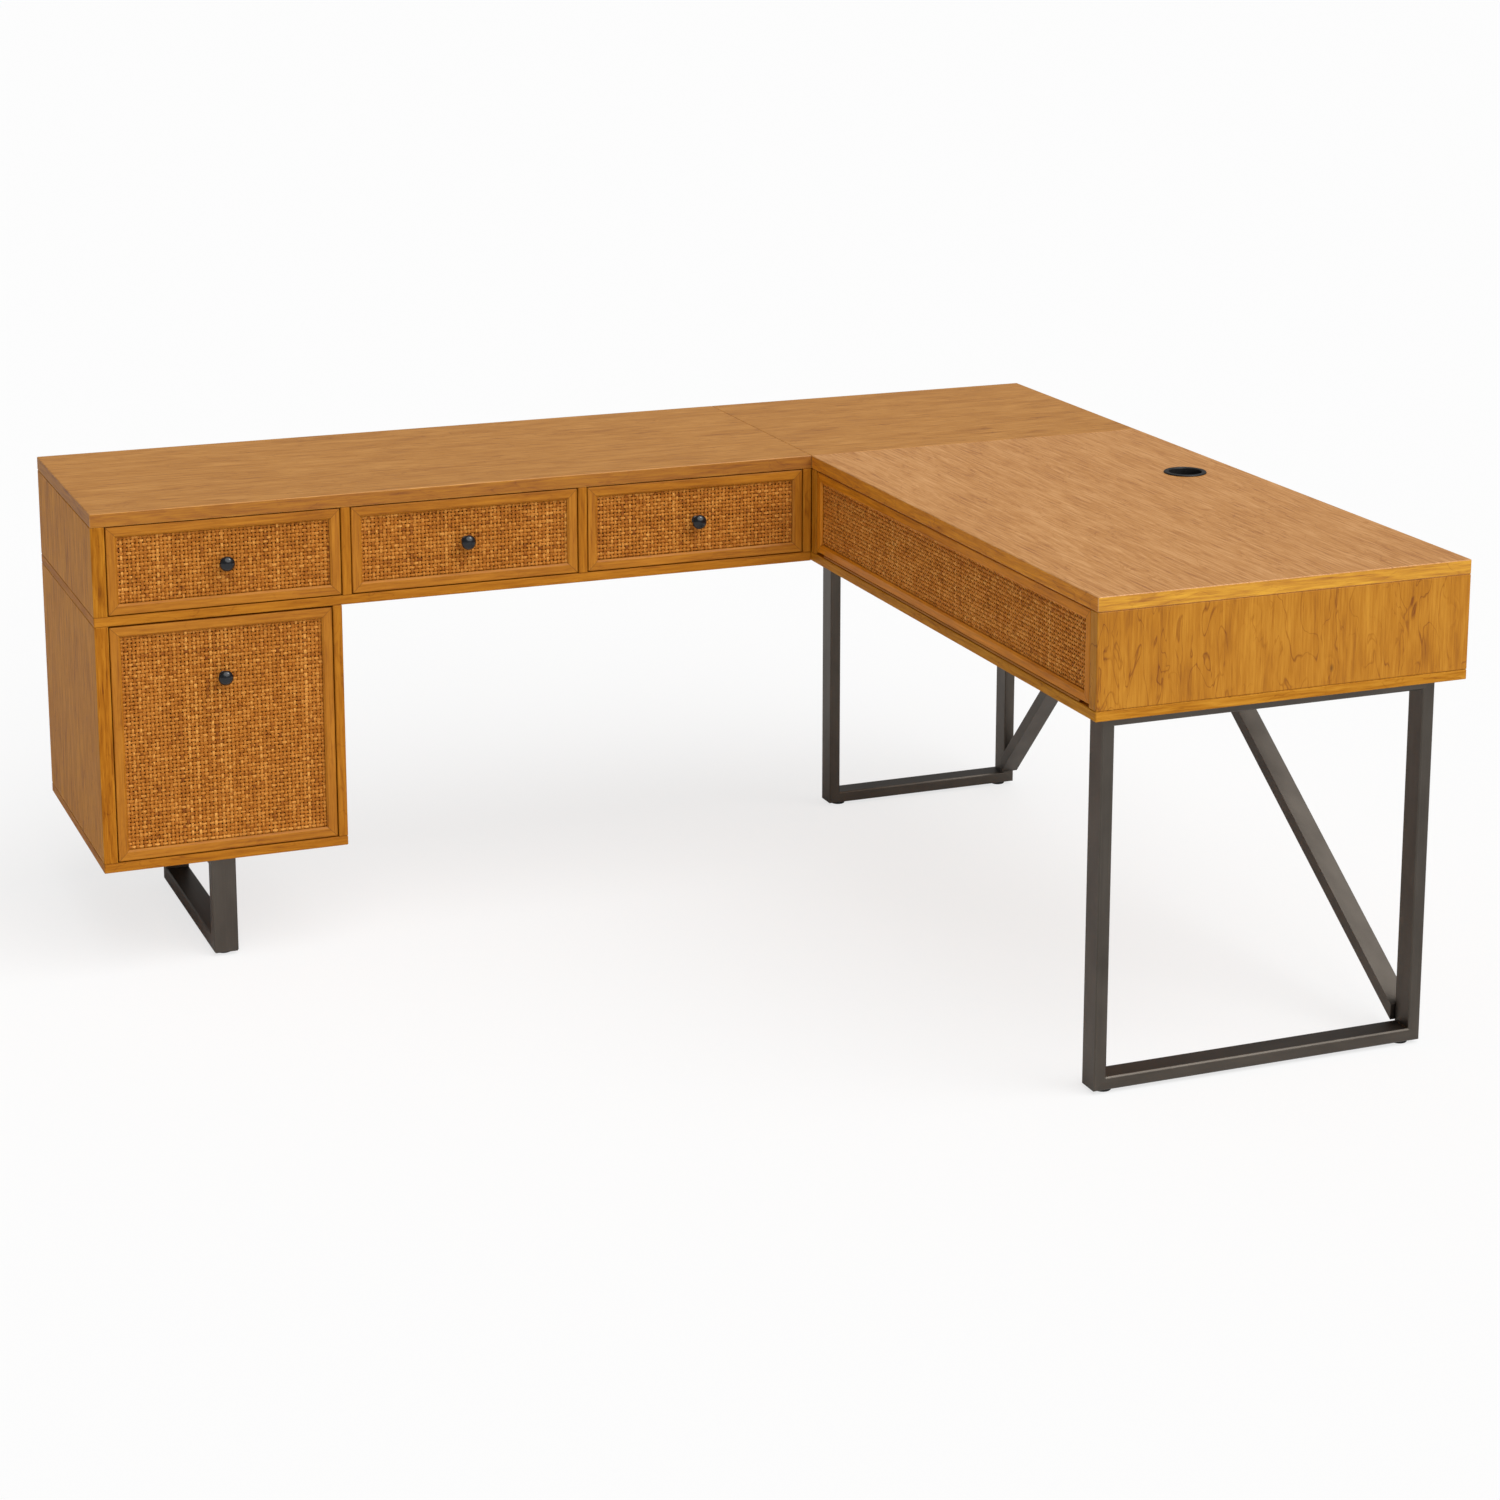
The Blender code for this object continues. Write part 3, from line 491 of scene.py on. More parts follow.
for turn, (body, wide) in enumerate(FRONTS.items()):
    node = frame_node(body)
    lay = mitred_grain(node, wide, (0.23 * turn, 0.31 * turn, 0.17))
    # The long front's frame takes the lighter copy, which paints light into its shade.
    tones = HONEY_LIT_LONG_FRONT if body == "drop_front" else HONEY_FRONT
    finish(node, wood("stained_wood_" + node, lay, tones, ring=6 * MM, flame=0.02, contrast=0.8, curl=0.3,
                      specular=0.25, roughness=0.5))
print("front frames:", [frame_node(body) for body in FRONTS])

# %% [markdown]
# ## Woven raffia panels
# The panels are plain weave: upright warp strands and level weft strands that pass over and under each
# other. The strands are split palm leaf, so they are flat, uneven in width, and wander a little. Modelling
# each strand gives real gaps and shadows that a bump pattern can't. A Geometry Nodes tree fits, because
# every strand follows one rule: its height is a cosine of its place along the strand plus its own number,
# so neighbours alternate. The same tree weaves both directions, with the two directions of the panel
# swapped.

# %% Strand tree


def new_tree(name, inputs):
    """A Geometry Nodes tree with inputs named by kind and one output; gives the tree and its inputs."""
    tree = bpy.data.node_groups.new(name, "GeometryNodeTree")
    tree.is_modifier = True
    for kind, labels in inputs.items():
        for label in labels:
            tree.interface.new_socket(label, in_out="INPUT", socket_type="NodeSocket" + kind)
    tree.interface.new_socket("Geometry", in_out="OUTPUT", socket_type="NodeSocketGeometry")
    return tree, tree.nodes.new("NodeGroupInput").outputs


STRAND_SIDES = 6
STRAND_INPUTS = {
    "Int": ("Strands",),
    "Float": ("Length", "Pitch", "Steps Per Pitch", "Swing", "Width", "Thickness", "Wander", "Unevenness",
              "Seed"),
    "Vector": ("Origin", "Run", "Step", "Out"),
    "Material": ("Finish",),
}
weaver, given = new_tree("raffia_strands", STRAND_INPUTS)


def moved(tree, spot, way, distance):
    """A place moved from spot by a distance along way."""
    step = add(tree, "ShaderNodeVectorMath", {0: way, "Scale": distance}, operation="SCALE").outputs[0]
    return add(tree, "ShaderNodeVectorMath", {0: spot, 1: step}, operation="ADD").outputs[0]


pitches = maths(weaver, "DIVIDE", given["Length"], given["Pitch"])
points = maths(weaver, "CEIL", maths(weaver, "MULTIPLY", pitches, given["Steps Per Pitch"]))
points = maths(weaver, "ADD", points, 1.0)
line_end = add(weaver, "ShaderNodeCombineXYZ", {"X": given["Length"]}).outputs[0]
one = add(weaver, "GeometryNodeCurvePrimitiveLine", {"End": line_end})
dotted = add(weaver, "GeometryNodeResampleCurve", {"Curve": one.outputs[0], "Count": points})
many = add(weaver, "GeometryNodeDuplicateElements",
           {"Geometry": dotted.outputs[0], "Amount": given["Strands"]}, domain="SPLINE")
number = many.outputs["Duplicate Index"]
position = add(weaver, "GeometryNodeInputPosition").outputs[0]
run_at = add(weaver, "ShaderNodeSeparateXYZ", {0: position}).outputs["X"]
key = add(weaver, "ShaderNodeCombineXYZ", {"X": run_at, "Y": number, "Z": given["Seed"]}).outputs[0]
kept = add(weaver, "GeometryNodeStoreNamedAttribute",
           {"Geometry": many.outputs["Geometry"], "Name": "strand_place", "Value": key},
           data_type="FLOAT_VECTOR", domain="POINT")
place_of = add(weaver, "GeometryNodeInputNamedAttribute", {"Name": "strand_place"}, data_type="FLOAT_VECTOR")
strand_place = place_of.outputs["Attribute"]
split_place = add(weaver, "ShaderNodeSeparateXYZ", {0: strand_place})
along, strand = split_place.outputs["X"], split_place.outputs["Y"]


def strand_noise(stretch, shift):
    """Noise from -1 to 1 that changes along a strand over 1/stretch metres, and differs on each strand."""
    where = add(weaver, "ShaderNodeVectorMath",
                {0: strand_place, 1: (stretch, 3.7, 5.1), 2: (shift, shift, 0)},
                operation="MULTIPLY_ADD").outputs[0]
    value = add(weaver, "ShaderNodeTexNoise", {"Vector": where, "Scale": 1.0, "Detail": 1.0}).outputs["Fac"]
    return maths(weaver, "MULTIPLY_ADD", value, 4.0, -2.0)


slots_along = maths(weaver, "DIVIDE", along, given["Pitch"])
half_turns = maths(weaver, "ADD", maths(weaver, "SUBTRACT", slots_along, 0.5), strand)
wave = maths(weaver, "COSINE", maths(weaver, "MULTIPLY", half_turns, math.pi))
depth = maths(weaver, "MULTIPLY", maths(weaver, "MULTIPLY", wave, given["Swing"]), -1.0)
row = maths(weaver, "MULTIPLY", maths(weaver, "ADD", strand, 0.5), given["Pitch"])
side = maths(weaver, "MULTIPLY_ADD", strand_noise(30.0, 11.3), given["Wander"], row)
side = maths(weaver, "MULTIPLY_ADD", strand_noise(5.0, 47.9), given["Wander"], side)
spot = moved(weaver, given["Origin"], given["Run"], along)
spot = moved(weaver, spot, given["Step"], side)
spot = moved(weaver, spot, given["Out"], depth)
laid = add(weaver, "GeometryNodeSetPosition", {"Geometry": kept.outputs[0], "Position": spot})
facing = add(weaver, "GeometryNodeSetCurveNormal", {"Curve": laid.outputs[0], "Normal": given["Step"]},
             mode="FREE")
ring_of = add(weaver, "GeometryNodeCurvePrimitiveCircle", {"Resolution": STRAND_SIDES, "Radius": 1.0})
half_wide = maths(weaver, "MULTIPLY", given["Width"], 0.5)
half_thick = maths(weaver, "MULTIPLY", given["Thickness"], 0.5)
flat = add(weaver, "ShaderNodeCombineXYZ", {"X": half_wide, "Y": half_thick, "Z": 1.0})
section = add(weaver, "GeometryNodeTransform",
              {"Geometry": ring_of.outputs["Curve"], "Scale": flat.outputs[0]})
around = maths(weaver, "DIVIDE", add(weaver, "GeometryNodeInputIndex").outputs[0], STRAND_SIDES)
marked = add(weaver, "GeometryNodeStoreNamedAttribute",
             {"Geometry": section.outputs[0], "Name": "strand_side", "Value": around},
             data_type="FLOAT", domain="POINT")
swell = maths(weaver, "MULTIPLY_ADD", strand_noise(55.0, 83.1), given["Unevenness"], 1.0)
swell = maths(weaver, "MULTIPLY_ADD", strand_noise(4.0, 29.5), given["Unevenness"], swell)
swell = maths(weaver, "MINIMUM", maths(weaver, "MAXIMUM", swell, 0.6), 1.3)
solid = add(weaver, "GeometryNodeCurveToMesh", {
    "Curve": facing.outputs[0], "Profile Curve": marked.outputs[0], "Scale": swell, "Fill Caps": True})
smooth = add(weaver, "GeometryNodeSetShadeSmooth", {"Geometry": solid.outputs[0]})
real = add(weaver, "GeometryNodeRealizeInstances", {"Geometry": smooth.outputs[0]})
dyed = add(weaver, "GeometryNodeSetMaterial", {"Geometry": real.outputs[0], "Material": given["Finish"]})
add(weaver, "NodeGroupOutput", {0: dyed.outputs[0]})
print("strand tree nodes:", len(weaver.nodes))

# %% [markdown]
# A modifier runs the tree on an empty mesh. Its inputs are set by the identifier of each socket, before the
# first evaluation. The evaluated result is then copied into a plain mesh and the modifier is taken off,
# because the model that leaves this file holds only plain meshes.

# %% Run a tree into a plain mesh


def grow(name, tree, mesh=None, **sizes):
    """Makes an object from a node tree: the tree's inputs are given by name, with _ for each space."""
    piece = put(name, mesh or bpy.data.meshes.new(name))
    modifier = piece.modifiers.new(name, "NODES")
    modifier.node_group = tree
    known = {item.name: item.identifier for item in tree.interface.items_tree if item.in_out == "INPUT"}
    for key, value in sizes.items():
        modifier[known[key.replace("_", " ")]] = value
    bpy.context.view_layer.update()
    result = bpy.data.meshes.new_from_object(piece.evaluated_get(bpy.context.evaluated_depsgraph_get()))
    piece.modifiers.clear()
    piece.data = result
    result.name = name
    return piece


print("strand sizes:", STRAND_INPUTS["Float"])

# %% [markdown]
# Raffia is dry, split leaf: matt, fibrous along the strand, straw to rust brown with stain, with no two
# strands alike, and a strand here and there much paler or darker. The tree left each strand's own place on
# it as an attribute, so the fibres follow the strand. Behind the weave is a thin dark board, seen only
# through the gaps, whose dark brown also paints the shade deep in those gaps, and its inner side is veneered
# to match the frame.

# %% Raffia and backing finishes


def raffia(name, tones):
    """Split leaf: colour differs by strand, fades along it, and has fibres that follow it."""
    made, tree, shader = new_finish(name)
    spot = add(tree, "ShaderNodeAttribute", attribute_name="strand_place").outputs["Vector"]
    side = add(tree, "ShaderNodeAttribute", attribute_name="strand_side").outputs["Fac"]
    split = add(tree, "ShaderNodeSeparateXYZ", {0: spot}).outputs
    round_it = maths(tree, "MULTIPLY_ADD", side, 0.9, split["Y"])
    skin = add(tree, "ShaderNodeCombineXYZ", {"X": split["X"], "Y": round_it, "Z": split["Z"]}).outputs[0]
    leaf = noise(tree, spot, (14.0, 0.83, 1.7), 1.0)
    slub = noise(tree, spot, (90.0, 2.9, 1.3), 2.0)
    fibres = noise(tree, skin, (140.0, 21.0, 1.0), 2.0)
    # One strand in twenty is much paler, and about as many are darker.
    number = add(tree, "ShaderNodeCombineXYZ", {"X": split["Y"], "Y": split["Z"]}).outputs[0]
    chance = add(tree, "ShaderNodeTexWhiteNoise", {"Vector": number}, noise_dimensions="2D").outputs["Value"]
    pale = maths(tree, "GREATER_THAN", chance, 0.95)
    dark = maths(tree, "LESS_THAN", chance, 0.06)
    tone = sums(tree, (leaf, 0.45), (slub, 1.1), (fibres, 1.3), (pale, 0.26), (dark, -0.18))
    shades = zip((0.05, 0.5, 0.95), (linear(code) for code in tones))
    bump = add(tree, "ShaderNodeBump", {"Strength": 0.6, "Distance": 0.25 * MM, "Height": fibres}).outputs[0]
    fill(tree, shader, {"Base Color": ramp(tree, maths(tree, "ADD", tone, 0.54), *shades), "Normal": bump,
                        "Roughness": 0.62, "Specular IOR Level": 0.2})
    return made


def shade_backing_board(name):
    """Hardboard stained dark brown, a colour that also paints the shade deep in the weave's gaps: pressed
    fibres about 1.5 mm long, with no grain.
    """
    made, tree, shader = new_finish(name)
    here = add(tree, "ShaderNodeTexCoord").outputs["Object"]
    fibres = noise(tree, here, (700.0, 700.0, 700.0), 3.0)
    bump = add(tree, "ShaderNodeBump", {"Strength": 0.3, "Distance": 0.1 * MM, "Height": fibres}).outputs[0]
    fill(tree, shader, {"Base Color": ramp(tree, fibres, (0.3, linear("#33190A")), (0.7, linear("#583215"))),
                        "Normal": bump, "Roughness": 0.85, "Specular IOR Level": 0.2})
    return made


RAFFIA = raffia("stained_raffia", ("#783C05", "#B46C1A", "#E2A04C"))
# A lighter copy of the raffia for the long front, which paints light into the shade the knee-side panel
# stands in.
RAFFIA_LIT_LONG_FRONT = raffia("stained_raffia_long_front", ("#8E4A0C", "#D08028", "#F2B45E"))
SHADE_BACKING = shade_backing_board("dark_hardboard_with_gap_shade")
print("weave finishes:", RAFFIA.name, SHADE_BACKING.name)

# %% Weave every panel
PITCH = 6.4 * MM
STRAND_WIDTH = 4.9 * MM
STRAND_THICK = 1.85 * MM
SWING = 0.98 * MM
WANDER = 0.34 * MM
# Both are measured back from the face of the panel.
FACE_TO_MIDDLE = 1.95 * MM
BACKING_DEPTH = 3.95 * MM
INNER_VENEER = 1.0 * MM
EASED = 0.3 * MM
# How broad the warp and the weft are, and how much they bend. On the long front the warp is thin and the weft
# bold, so the panel reads as lines that run along it.
EVEN = ((1.0, 1.0), (1.0, 1.0))
BOLD_WEFT = ((0.74, 1.25), (0.98, 0.72))


def piece_from(name, shape, material):
    """Turns a finished bmesh into an object with one material."""
    mesh = bpy.data.meshes.new(name)
    shape.to_mesh(mesh)
    shape.free()
    mesh.materials.append(material)
    return put(name, mesh)


def box_piece(name, low, high, material):
    """A rectangular board with eased edges."""
    shape = bmesh.new()
    bmesh.ops.create_cube(shape, size=1.0)
    for vertex in shape.verts:
        for k in range(3):
            vertex.co[k] = high[k] if vertex.co[k] > 0 else low[k]
    bmesh.ops.bevel(shape, geom=list(shape.edges), offset=EASED, segments=2, affect="EDGES")
    return piece_from(name, shape, material)


total = 0
for turn, (body, wide) in enumerate(FRONTS.items()):
    node = body + "_woven_panel"
    low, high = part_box(node)
    right = Vector((1, 0, 0)) if wide == "X" else Vector((0, -1, 0))
    up = Vector((0, 0, 1))
    out = right.cross(up)
    start = Vector((low.x, low.y, low.z)) if wide == "X" else Vector((low.x, high.y, low.z))
    size_right = abs((high - low).dot(right))
    size_up = (high - low).z
    middle = start - out * FACE_TO_MIDDLE
    is_long = body == "drop_front"
    warp, weft = BOLD_WEFT if is_long else EVEN
    for label, run, step, length, width_across, face, (broad, bent) in (
        ("warp", up, right, size_up, size_right, -out, warp),
        ("weft", right, up, size_right, size_up, out, weft),
    ):
        count = int(width_across / PITCH)
        spare = (width_across - count * PITCH) / 2
        ends = (length - int(length / PITCH) * PITCH) / 2
        piece = grow(
            body + "_raffia_" + label, weaver, Strands=count, Length=length - 2 * ends, Pitch=PITCH,
            Steps_Per_Pitch=5.0, Swing=SWING * bent, Width=STRAND_WIDTH * broad,
            Thickness=STRAND_THICK / bent ** 0.5, Wander=WANDER, Unevenness=0.13,
            Seed=3.0 * turn + (label == "weft"), Origin=middle + step * spare + run * ends, Run=run,
            Step=step, Out=face, Finish=RAFFIA_LIT_LONG_FRONT if is_long else RAFFIA)
        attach(piece, body)
        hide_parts(node)
        triangles = sum(len(face.vertices) - 2 for face in piece.data.polygons)
        total += triangles
        print(piece.name, count, "strands,", triangles, "triangles")
    # Behind the weave: the dark board, whose colour also paints the gaps' shade, and the veneer on its inner
    # side.
    depth = 1 if wide == "X" else 0
    levels = (low[depth] + BACKING_DEPTH, high[depth] - INNER_VENEER, high[depth])
    veneer = wood("stained_wood_inside_" + body, board_grain(wide, (0.19 * turn, 0.3, 0.11)), HONEY_FRONT,
                  contrast=0.8, curl=0.3, specular=0.25, roughness=0.5)
    for label, front, back, material in (
        ("_dark_backing_and_gap_shade", levels[0], levels[1], SHADE_BACKING), ("_inner_veneer", levels[1], levels[2], veneer),
    ):
        near_corner, far_corner = Vector(low), Vector(high)
        near_corner[depth] = front
        far_corner[depth] = back
        board = box_piece(body + label, near_corner, far_corner, material)
        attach(board, body)
        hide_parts(node)
print("weave triangles:", total)

# %% [markdown]
# ## Turned knobs, grommet and glides
# Knobs, the grommet and the glides are round, so each is a section turned about its axis: the section is
# drawn as half an outline, with arcs worked out by a formula, and Blender's spin sweeps it round. Spin
# leaves doubled points where it closes, so those are merged before the faces are turned outwards.

# %% Turning


def arc(middle_r, middle_h, radius_r, radius_h, start, end, steps):
    """Points (radius, height) on part of an ellipse, from one angle to another in degrees."""
    points = []
    for k in range(steps + 1):
        angle = math.radians(start + (end - start) * k / steps)
        points.append((middle_r + radius_r * math.cos(angle), middle_h + radius_h * math.sin(angle)))
    return points


KNOB_STEPS, GROMMET_STEPS, GLIDE_STEPS = 96, 128, 48


def turned(name, outline, centre, axis, material, steps, closed=False):
    """Spins an outline of (radius, height) points about an axis through centre."""
    axis = Vector(axis)
    across = Vector((1, 0, 0)) if abs(axis.x) < 0.5 else Vector((0, 1, 0))
    shape = bmesh.new()
    ring = [shape.verts.new(centre + across * r + axis * h) for r, h in outline]
    edges = [shape.edges.new(pair) for pair in zip(ring, ring[1:])]
    if closed:
        edges.append(shape.edges.new((ring[-1], ring[0])))
    bmesh.ops.spin(shape, geom=ring + edges, cent=centre, axis=axis, angle=2 * math.pi, steps=steps)
    bmesh.ops.remove_doubles(shape, verts=shape.verts, dist=0.01 * MM)
    bmesh.ops.recalc_face_normals(shape, faces=shape.faces)
    piece = piece_from(name, shape, material)
    piece.data.shade_smooth()
    piece.data.set_sharp_from_angle(angle=math.radians(40))
    return piece


print("turned parts use", GLIDE_STEPS, "to", GROMMET_STEPS, "steps")

# %% [markdown]
# The knobs are cast metal in gloss black enamel: nearly black with a cool cast, and a clear highlight on
# the crown. Enamel is a coat over a base, so the shader has a coat, and a little unevenness from the
# casting. The grommet and glides are moulded black plastic with the fine spark-eroded texture of the mould.

# %% Black enamel and black plastic


def black(name, shades, roughness, coat, grit, depth, specular=0.4):
    """A black moulded or enamelled surface with grit metres wide, depth metres high."""
    made, tree, shader = new_finish(name)
    here = add(tree, "ShaderNodeTexCoord").outputs["Object"]
    fine = noise(tree, here, (1 / grit,) * 3, 2.0)
    broad = noise(tree, here, (60.0,) * 3, 2.0)
    colour = ramp(tree, broad, (0.3, linear(shades[0])), (0.7, linear(shades[1])))
    gloss = remap(tree, broad, 0.2, 0.8, roughness * 0.8, roughness * 1.2)
    bump = add(tree, "ShaderNodeBump", {"Strength": 0.4, "Distance": depth, "Height": fine}).outputs[0]
    fill(tree, shader, {"Base Color": colour, "Roughness": gloss, "Normal": bump,
                        "Specular IOR Level": specular, "Coat Weight": coat, "Coat Roughness": 0.06})
    return made


ENAMEL = black("gloss_black_enamel", ("#080A0E", "#101318"), 0.3, 0.5, 1.5 * MM, 0.012 * MM, 0.2)
PLASTIC = black("moulded_black_plastic", ("#121212", "#1E1E1E"), 0.48, 0.0, 0.5 * MM, 0.03 * MM)
RUBBER = black("black_nylon_foot", ("#1A1A19", "#262523"), 0.6, 0.0, 0.6 * MM, 0.03 * MM)

# %% Knobs
for body in DRAWERS + ("file_drawer",):
    low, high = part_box(body + "_knob")
    middle = (low + high) / 2
    base = Vector((middle.x, high.y, middle.z))
    radius = (high.x - low.x) / 2
    reach = high.y - low.y
    rim = reach - 7.2 * MM
    outline = [(0.0, 0.0), (6.6 * MM, 0.0)] + arc(6.2 * MM, 1.0 * MM, 0.8 * MM, 0.8 * MM, -60, 90, 6)
    outline += arc(6.2 * MM, 5.6 * MM, 1.8 * MM, 3.6 * MM, 260, 180, 8)
    outline += [(4.4 * MM, 9.0 * MM)]
    outline += arc(9.0 * MM, 9.6 * MM, 4.6 * MM, rim - 12.0 * MM, 180, 110, 8)
    outline += arc(radius - 1.4 * MM, rim + 0.2 * MM, 1.4 * MM, 1.5 * MM, -70, 25, 8)
    outline += arc(0.0, rim - 2.0 * MM, radius + 0.35 * MM, reach - rim + 2.0 * MM, 22, 90, 14)
    knob = turned(body + "_turned_knob", outline, base, (0, -1, 0), ENAMEL, KNOB_STEPS)
    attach(knob, body)
    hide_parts(body + "_knob")
print("knob", round(2 * radius / MM, 1), "mm across,", round(reach / MM, 1), "mm proud of the weave")

# %% Grommet and glides
low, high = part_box("cable_grommet")
middle = (low + high) / 2
rim = (high.x - low.x) / 2
height = high.z - low.z
SLEEVE_OUT, SLEEVE_IN = 29.7 * MM, 27.2 * MM
lip = height - 2.2 * MM
outline = [(SLEEVE_IN + 0.4 * MM, 0.0), (SLEEVE_OUT - 0.4 * MM, 0.0), (SLEEVE_OUT, 0.6 * MM)]
outline += [(SLEEVE_OUT, lip)]
outline += [(rim - 0.3 * MM, lip)] + arc(rim - 1.4 * MM, lip + 0.6 * MM, 1.4 * MM, 1.6 * MM, -20, 90, 8)
outline += arc(SLEEVE_IN + 1.8 * MM, lip + 0.6 * MM, 1.8 * MM, 1.6 * MM, 90, 180, 8) + [(SLEEVE_IN, 0.5 * MM)]
grommet = turned("turned_cable_grommet", outline, Vector((middle.x, middle.y, low.z)), (0, 0, 1), PLASTIC,
                 GROMMET_STEPS, closed=True)
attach(grommet, "desk")
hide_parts("cable_grommet")
GLIDES = [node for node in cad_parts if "glide" in node]
for node in GLIDES:
    low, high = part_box(node)
    middle = (low + high) / 2
    radius = (high.x - low.x) / 2
    tall = high.z - low.z
    outline = [(0.0, 0.0)] + arc(radius - 1.6 * MM, 1.6 * MM, 1.6 * MM, 1.6 * MM, -90, 0, 6)
    outline += arc(radius - 0.5 * MM, tall - 0.5 * MM, 0.5 * MM, 0.5 * MM, 0, 90, 4) + [(0.0, tall)]
    foot = turned("moulded_" + node, outline, Vector((middle.x, middle.y, low.z)), (0, 0, 1), RUBBER,
                  GLIDE_STEPS)
    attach(foot, "desk")
    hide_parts(node)
print("glides:", len(GLIDES))

# %% [markdown]
# ## Steel
# The legs are rectangular steel tube, mitred, welded and ground flush, then given a dark bronze finish that
# is rubbed with a fine pad along each tube. So the metal has faint lines along the tube, soft cloudy tone
# where the patina is thicker, and edges rubbed brighter. The hinge strip is brassed, so it is close to the
# wood in tone. The slides and runners are plain bright zinc-plated sheet.

# %% Steel finishes


def steel(name, lay, tones, roughness, line=0.8 * MM, cloud=0.5, rub=0.35):
    """Metal with fine lines along the part, cloudy patches and brighter edges."""
    made, tree, shader = new_finish(name)
    place, _ = lay(tree)
    lines = noise(tree, place, (4.0, 1 / line, 1 / line), 2.0)
    clouds = noise(tree, place, (9.0, 22.0, 22.0), 3.0)
    tone = maths(tree, "ADD", sums(tree, (lines, 0.5), (clouds, 2.0 * cloud)), 0.5)
    colour = ramp(tree, tone, (0.1, linear(tones[0])), (0.9, linear(tones[1])))
    rounded, worn = edge_wear_and_highlight(tree, 1.5 * MM, rub)
    gloss = remap(tree, lines, 0.2, 0.8, roughness - 0.06, roughness + 0.08)
    bump = add(tree, "ShaderNodeBump", {"Strength": 0.25, "Distance": 0.05 * MM, "Height": lines,
                                        "Normal": rounded}).outputs[0]
    fill(tree, shader, {"Base Color": mix(tree, worn, colour, linear(tones[2])), "Roughness": gloss,
                        "Normal": bump, "Metallic": 1.0})
    return made


BRONZE = ("#4A4540", "#645E57", "#857D70")
HINGE_BRASS = ("#A8702C", "#C48A3E", "#D8A256")
ZINC = ("#9EA1A3", "#C3C6C8", "#DDDFE0")
LEG_FRAMES = {
    "near_leg_frame": ("rubbed_bronze_near_frame", "X", 0.0),
    "far_leg_frame": ("rubbed_bronze_far_frame", "X", 0.4),
    "cabinet_leg_frame": ("rubbed_bronze_cabinet_leg", "Y", 0.7),
}
# Straight parts: finish, the way the part runs, where its pattern starts, tones, roughness, and cloudiness.
STRAIGHT = {
    "near_brace": ("rubbed_bronze_near_brace", "Y", (0.2, 0.5, 0.3), BRONZE, 0.42, 0.5),
    "far_brace": ("rubbed_bronze_far_brace", "Y", (0.2, 0.5, 0.3), BRONZE, 0.42, 0.5),
    "drop_front_hinge": ("brassed_steel_hinge", "Y", (0.2, 0.5, 0.3), HINGE_BRASS, 0.5, 0.5),
}
for turn, node in enumerate(("file_slide_fixed_left", "file_slide_fixed_right", "file_slide_moving_left",
                             "file_slide_moving_right")):
    STRAIGHT[node] = ("zinc_plated_" + node, "Y", (0.3 * turn, 0, 0), ZINC, 0.34, 0.3)
for node in ("tray_runner_near", "tray_runner_far"):
    STRAIGHT[node] = ("zinc_plated_" + node, "X", (0.1, 0.6, 0), ZINC, 0.34, 0.3)
for node, (name, wide, shift) in LEG_FRAMES.items():
    finish(node, steel(name, mitred_grain(node, wide, (shift, 0, 0)), BRONZE, 0.42))
for node, (name, axis, offset, tones, roughness, cloud) in STRAIGHT.items():
    finish(node, steel(name, board_grain(axis, offset), tones, roughness, cloud=cloud))
print("steel finished on", len(LEG_FRAMES) + len(STRAIGHT), "nodes")

# %% [markdown]
# ## Screws
# Steel screws with round heads and a socket hold the frames and braces to the case, the fixed slides to the
# cabinet, and the knobs to the drawers. Heads repeat many times, so one small Geometry Nodes tree draws a
# head with a few dozen faces and sets it on each given point: a disc, a shoulder, then a socket pushed back
# into the top. Each point is found by a straight look at the part from the side the screwdriver comes from,
# so every head sits on real metal or wood.

# %% Screw tree
driver, given = new_tree("socket_screw_heads", {
    "Geometry": ("Points",),
    "Float": ("Head Width", "Head Height", "Socket Width"),
    "Vector": ("Out",),
    "Int": ("Seed",),
    "Material": ("Finish",),
})
UP = (0.0, 0.0, 1.0)


def push(mesh, faces, height, width):
    """Extrudes the chosen faces up by height and scales the new top by width; gives the mesh and its top."""
    drawn = add(driver, "GeometryNodeExtrudeMesh", {"Mesh": mesh, "Selection": faces, "Offset": UP,
                                                    "Offset Scale": height, "Individual": False})
    shaped = add(driver, "GeometryNodeScaleElements", {"Geometry": drawn.outputs["Mesh"],
                                                       "Selection": drawn.outputs["Top"], "Scale": width})
    return shaped.outputs[0], drawn.outputs["Top"]


HEAD_SIDES = 12
CROWN = 0.8
half_wide = maths(driver, "MULTIPLY", given["Head Width"], 0.5)
shank = maths(driver, "MULTIPLY", given["Head Height"], 1.2)
disc = add(driver, "GeometryNodeMeshCylinder", {"Vertices": HEAD_SIDES, "Radius": half_wide, "Depth": shank},
           fill_type="NGON")
shoulder = maths(driver, "MULTIPLY", given["Head Height"], 0.4)
mesh, top = push(disc.outputs["Mesh"], disc.outputs["Top"], shoulder, CROWN)
inner = maths(driver, "DIVIDE", given["Socket Width"], maths(driver, "MULTIPLY", given["Head Width"], CROWN))
mesh, top = push(mesh, top, 0.0, inner)
mesh, top = push(mesh, top, maths(driver, "MULTIPLY", given["Head Height"], -0.6), 0.92)
spin = add(driver, "FunctionNodeRandomValue", {0: (0, 0, 0), 1: (0, 0, 6.28), "Seed": given["Seed"]},
           data_type="FLOAT_VECTOR").outputs[0]
aimed = add(driver, "FunctionNodeAlignRotationToVector", {"Rotation": spin, "Vector": given["Out"]}, axis="Z")
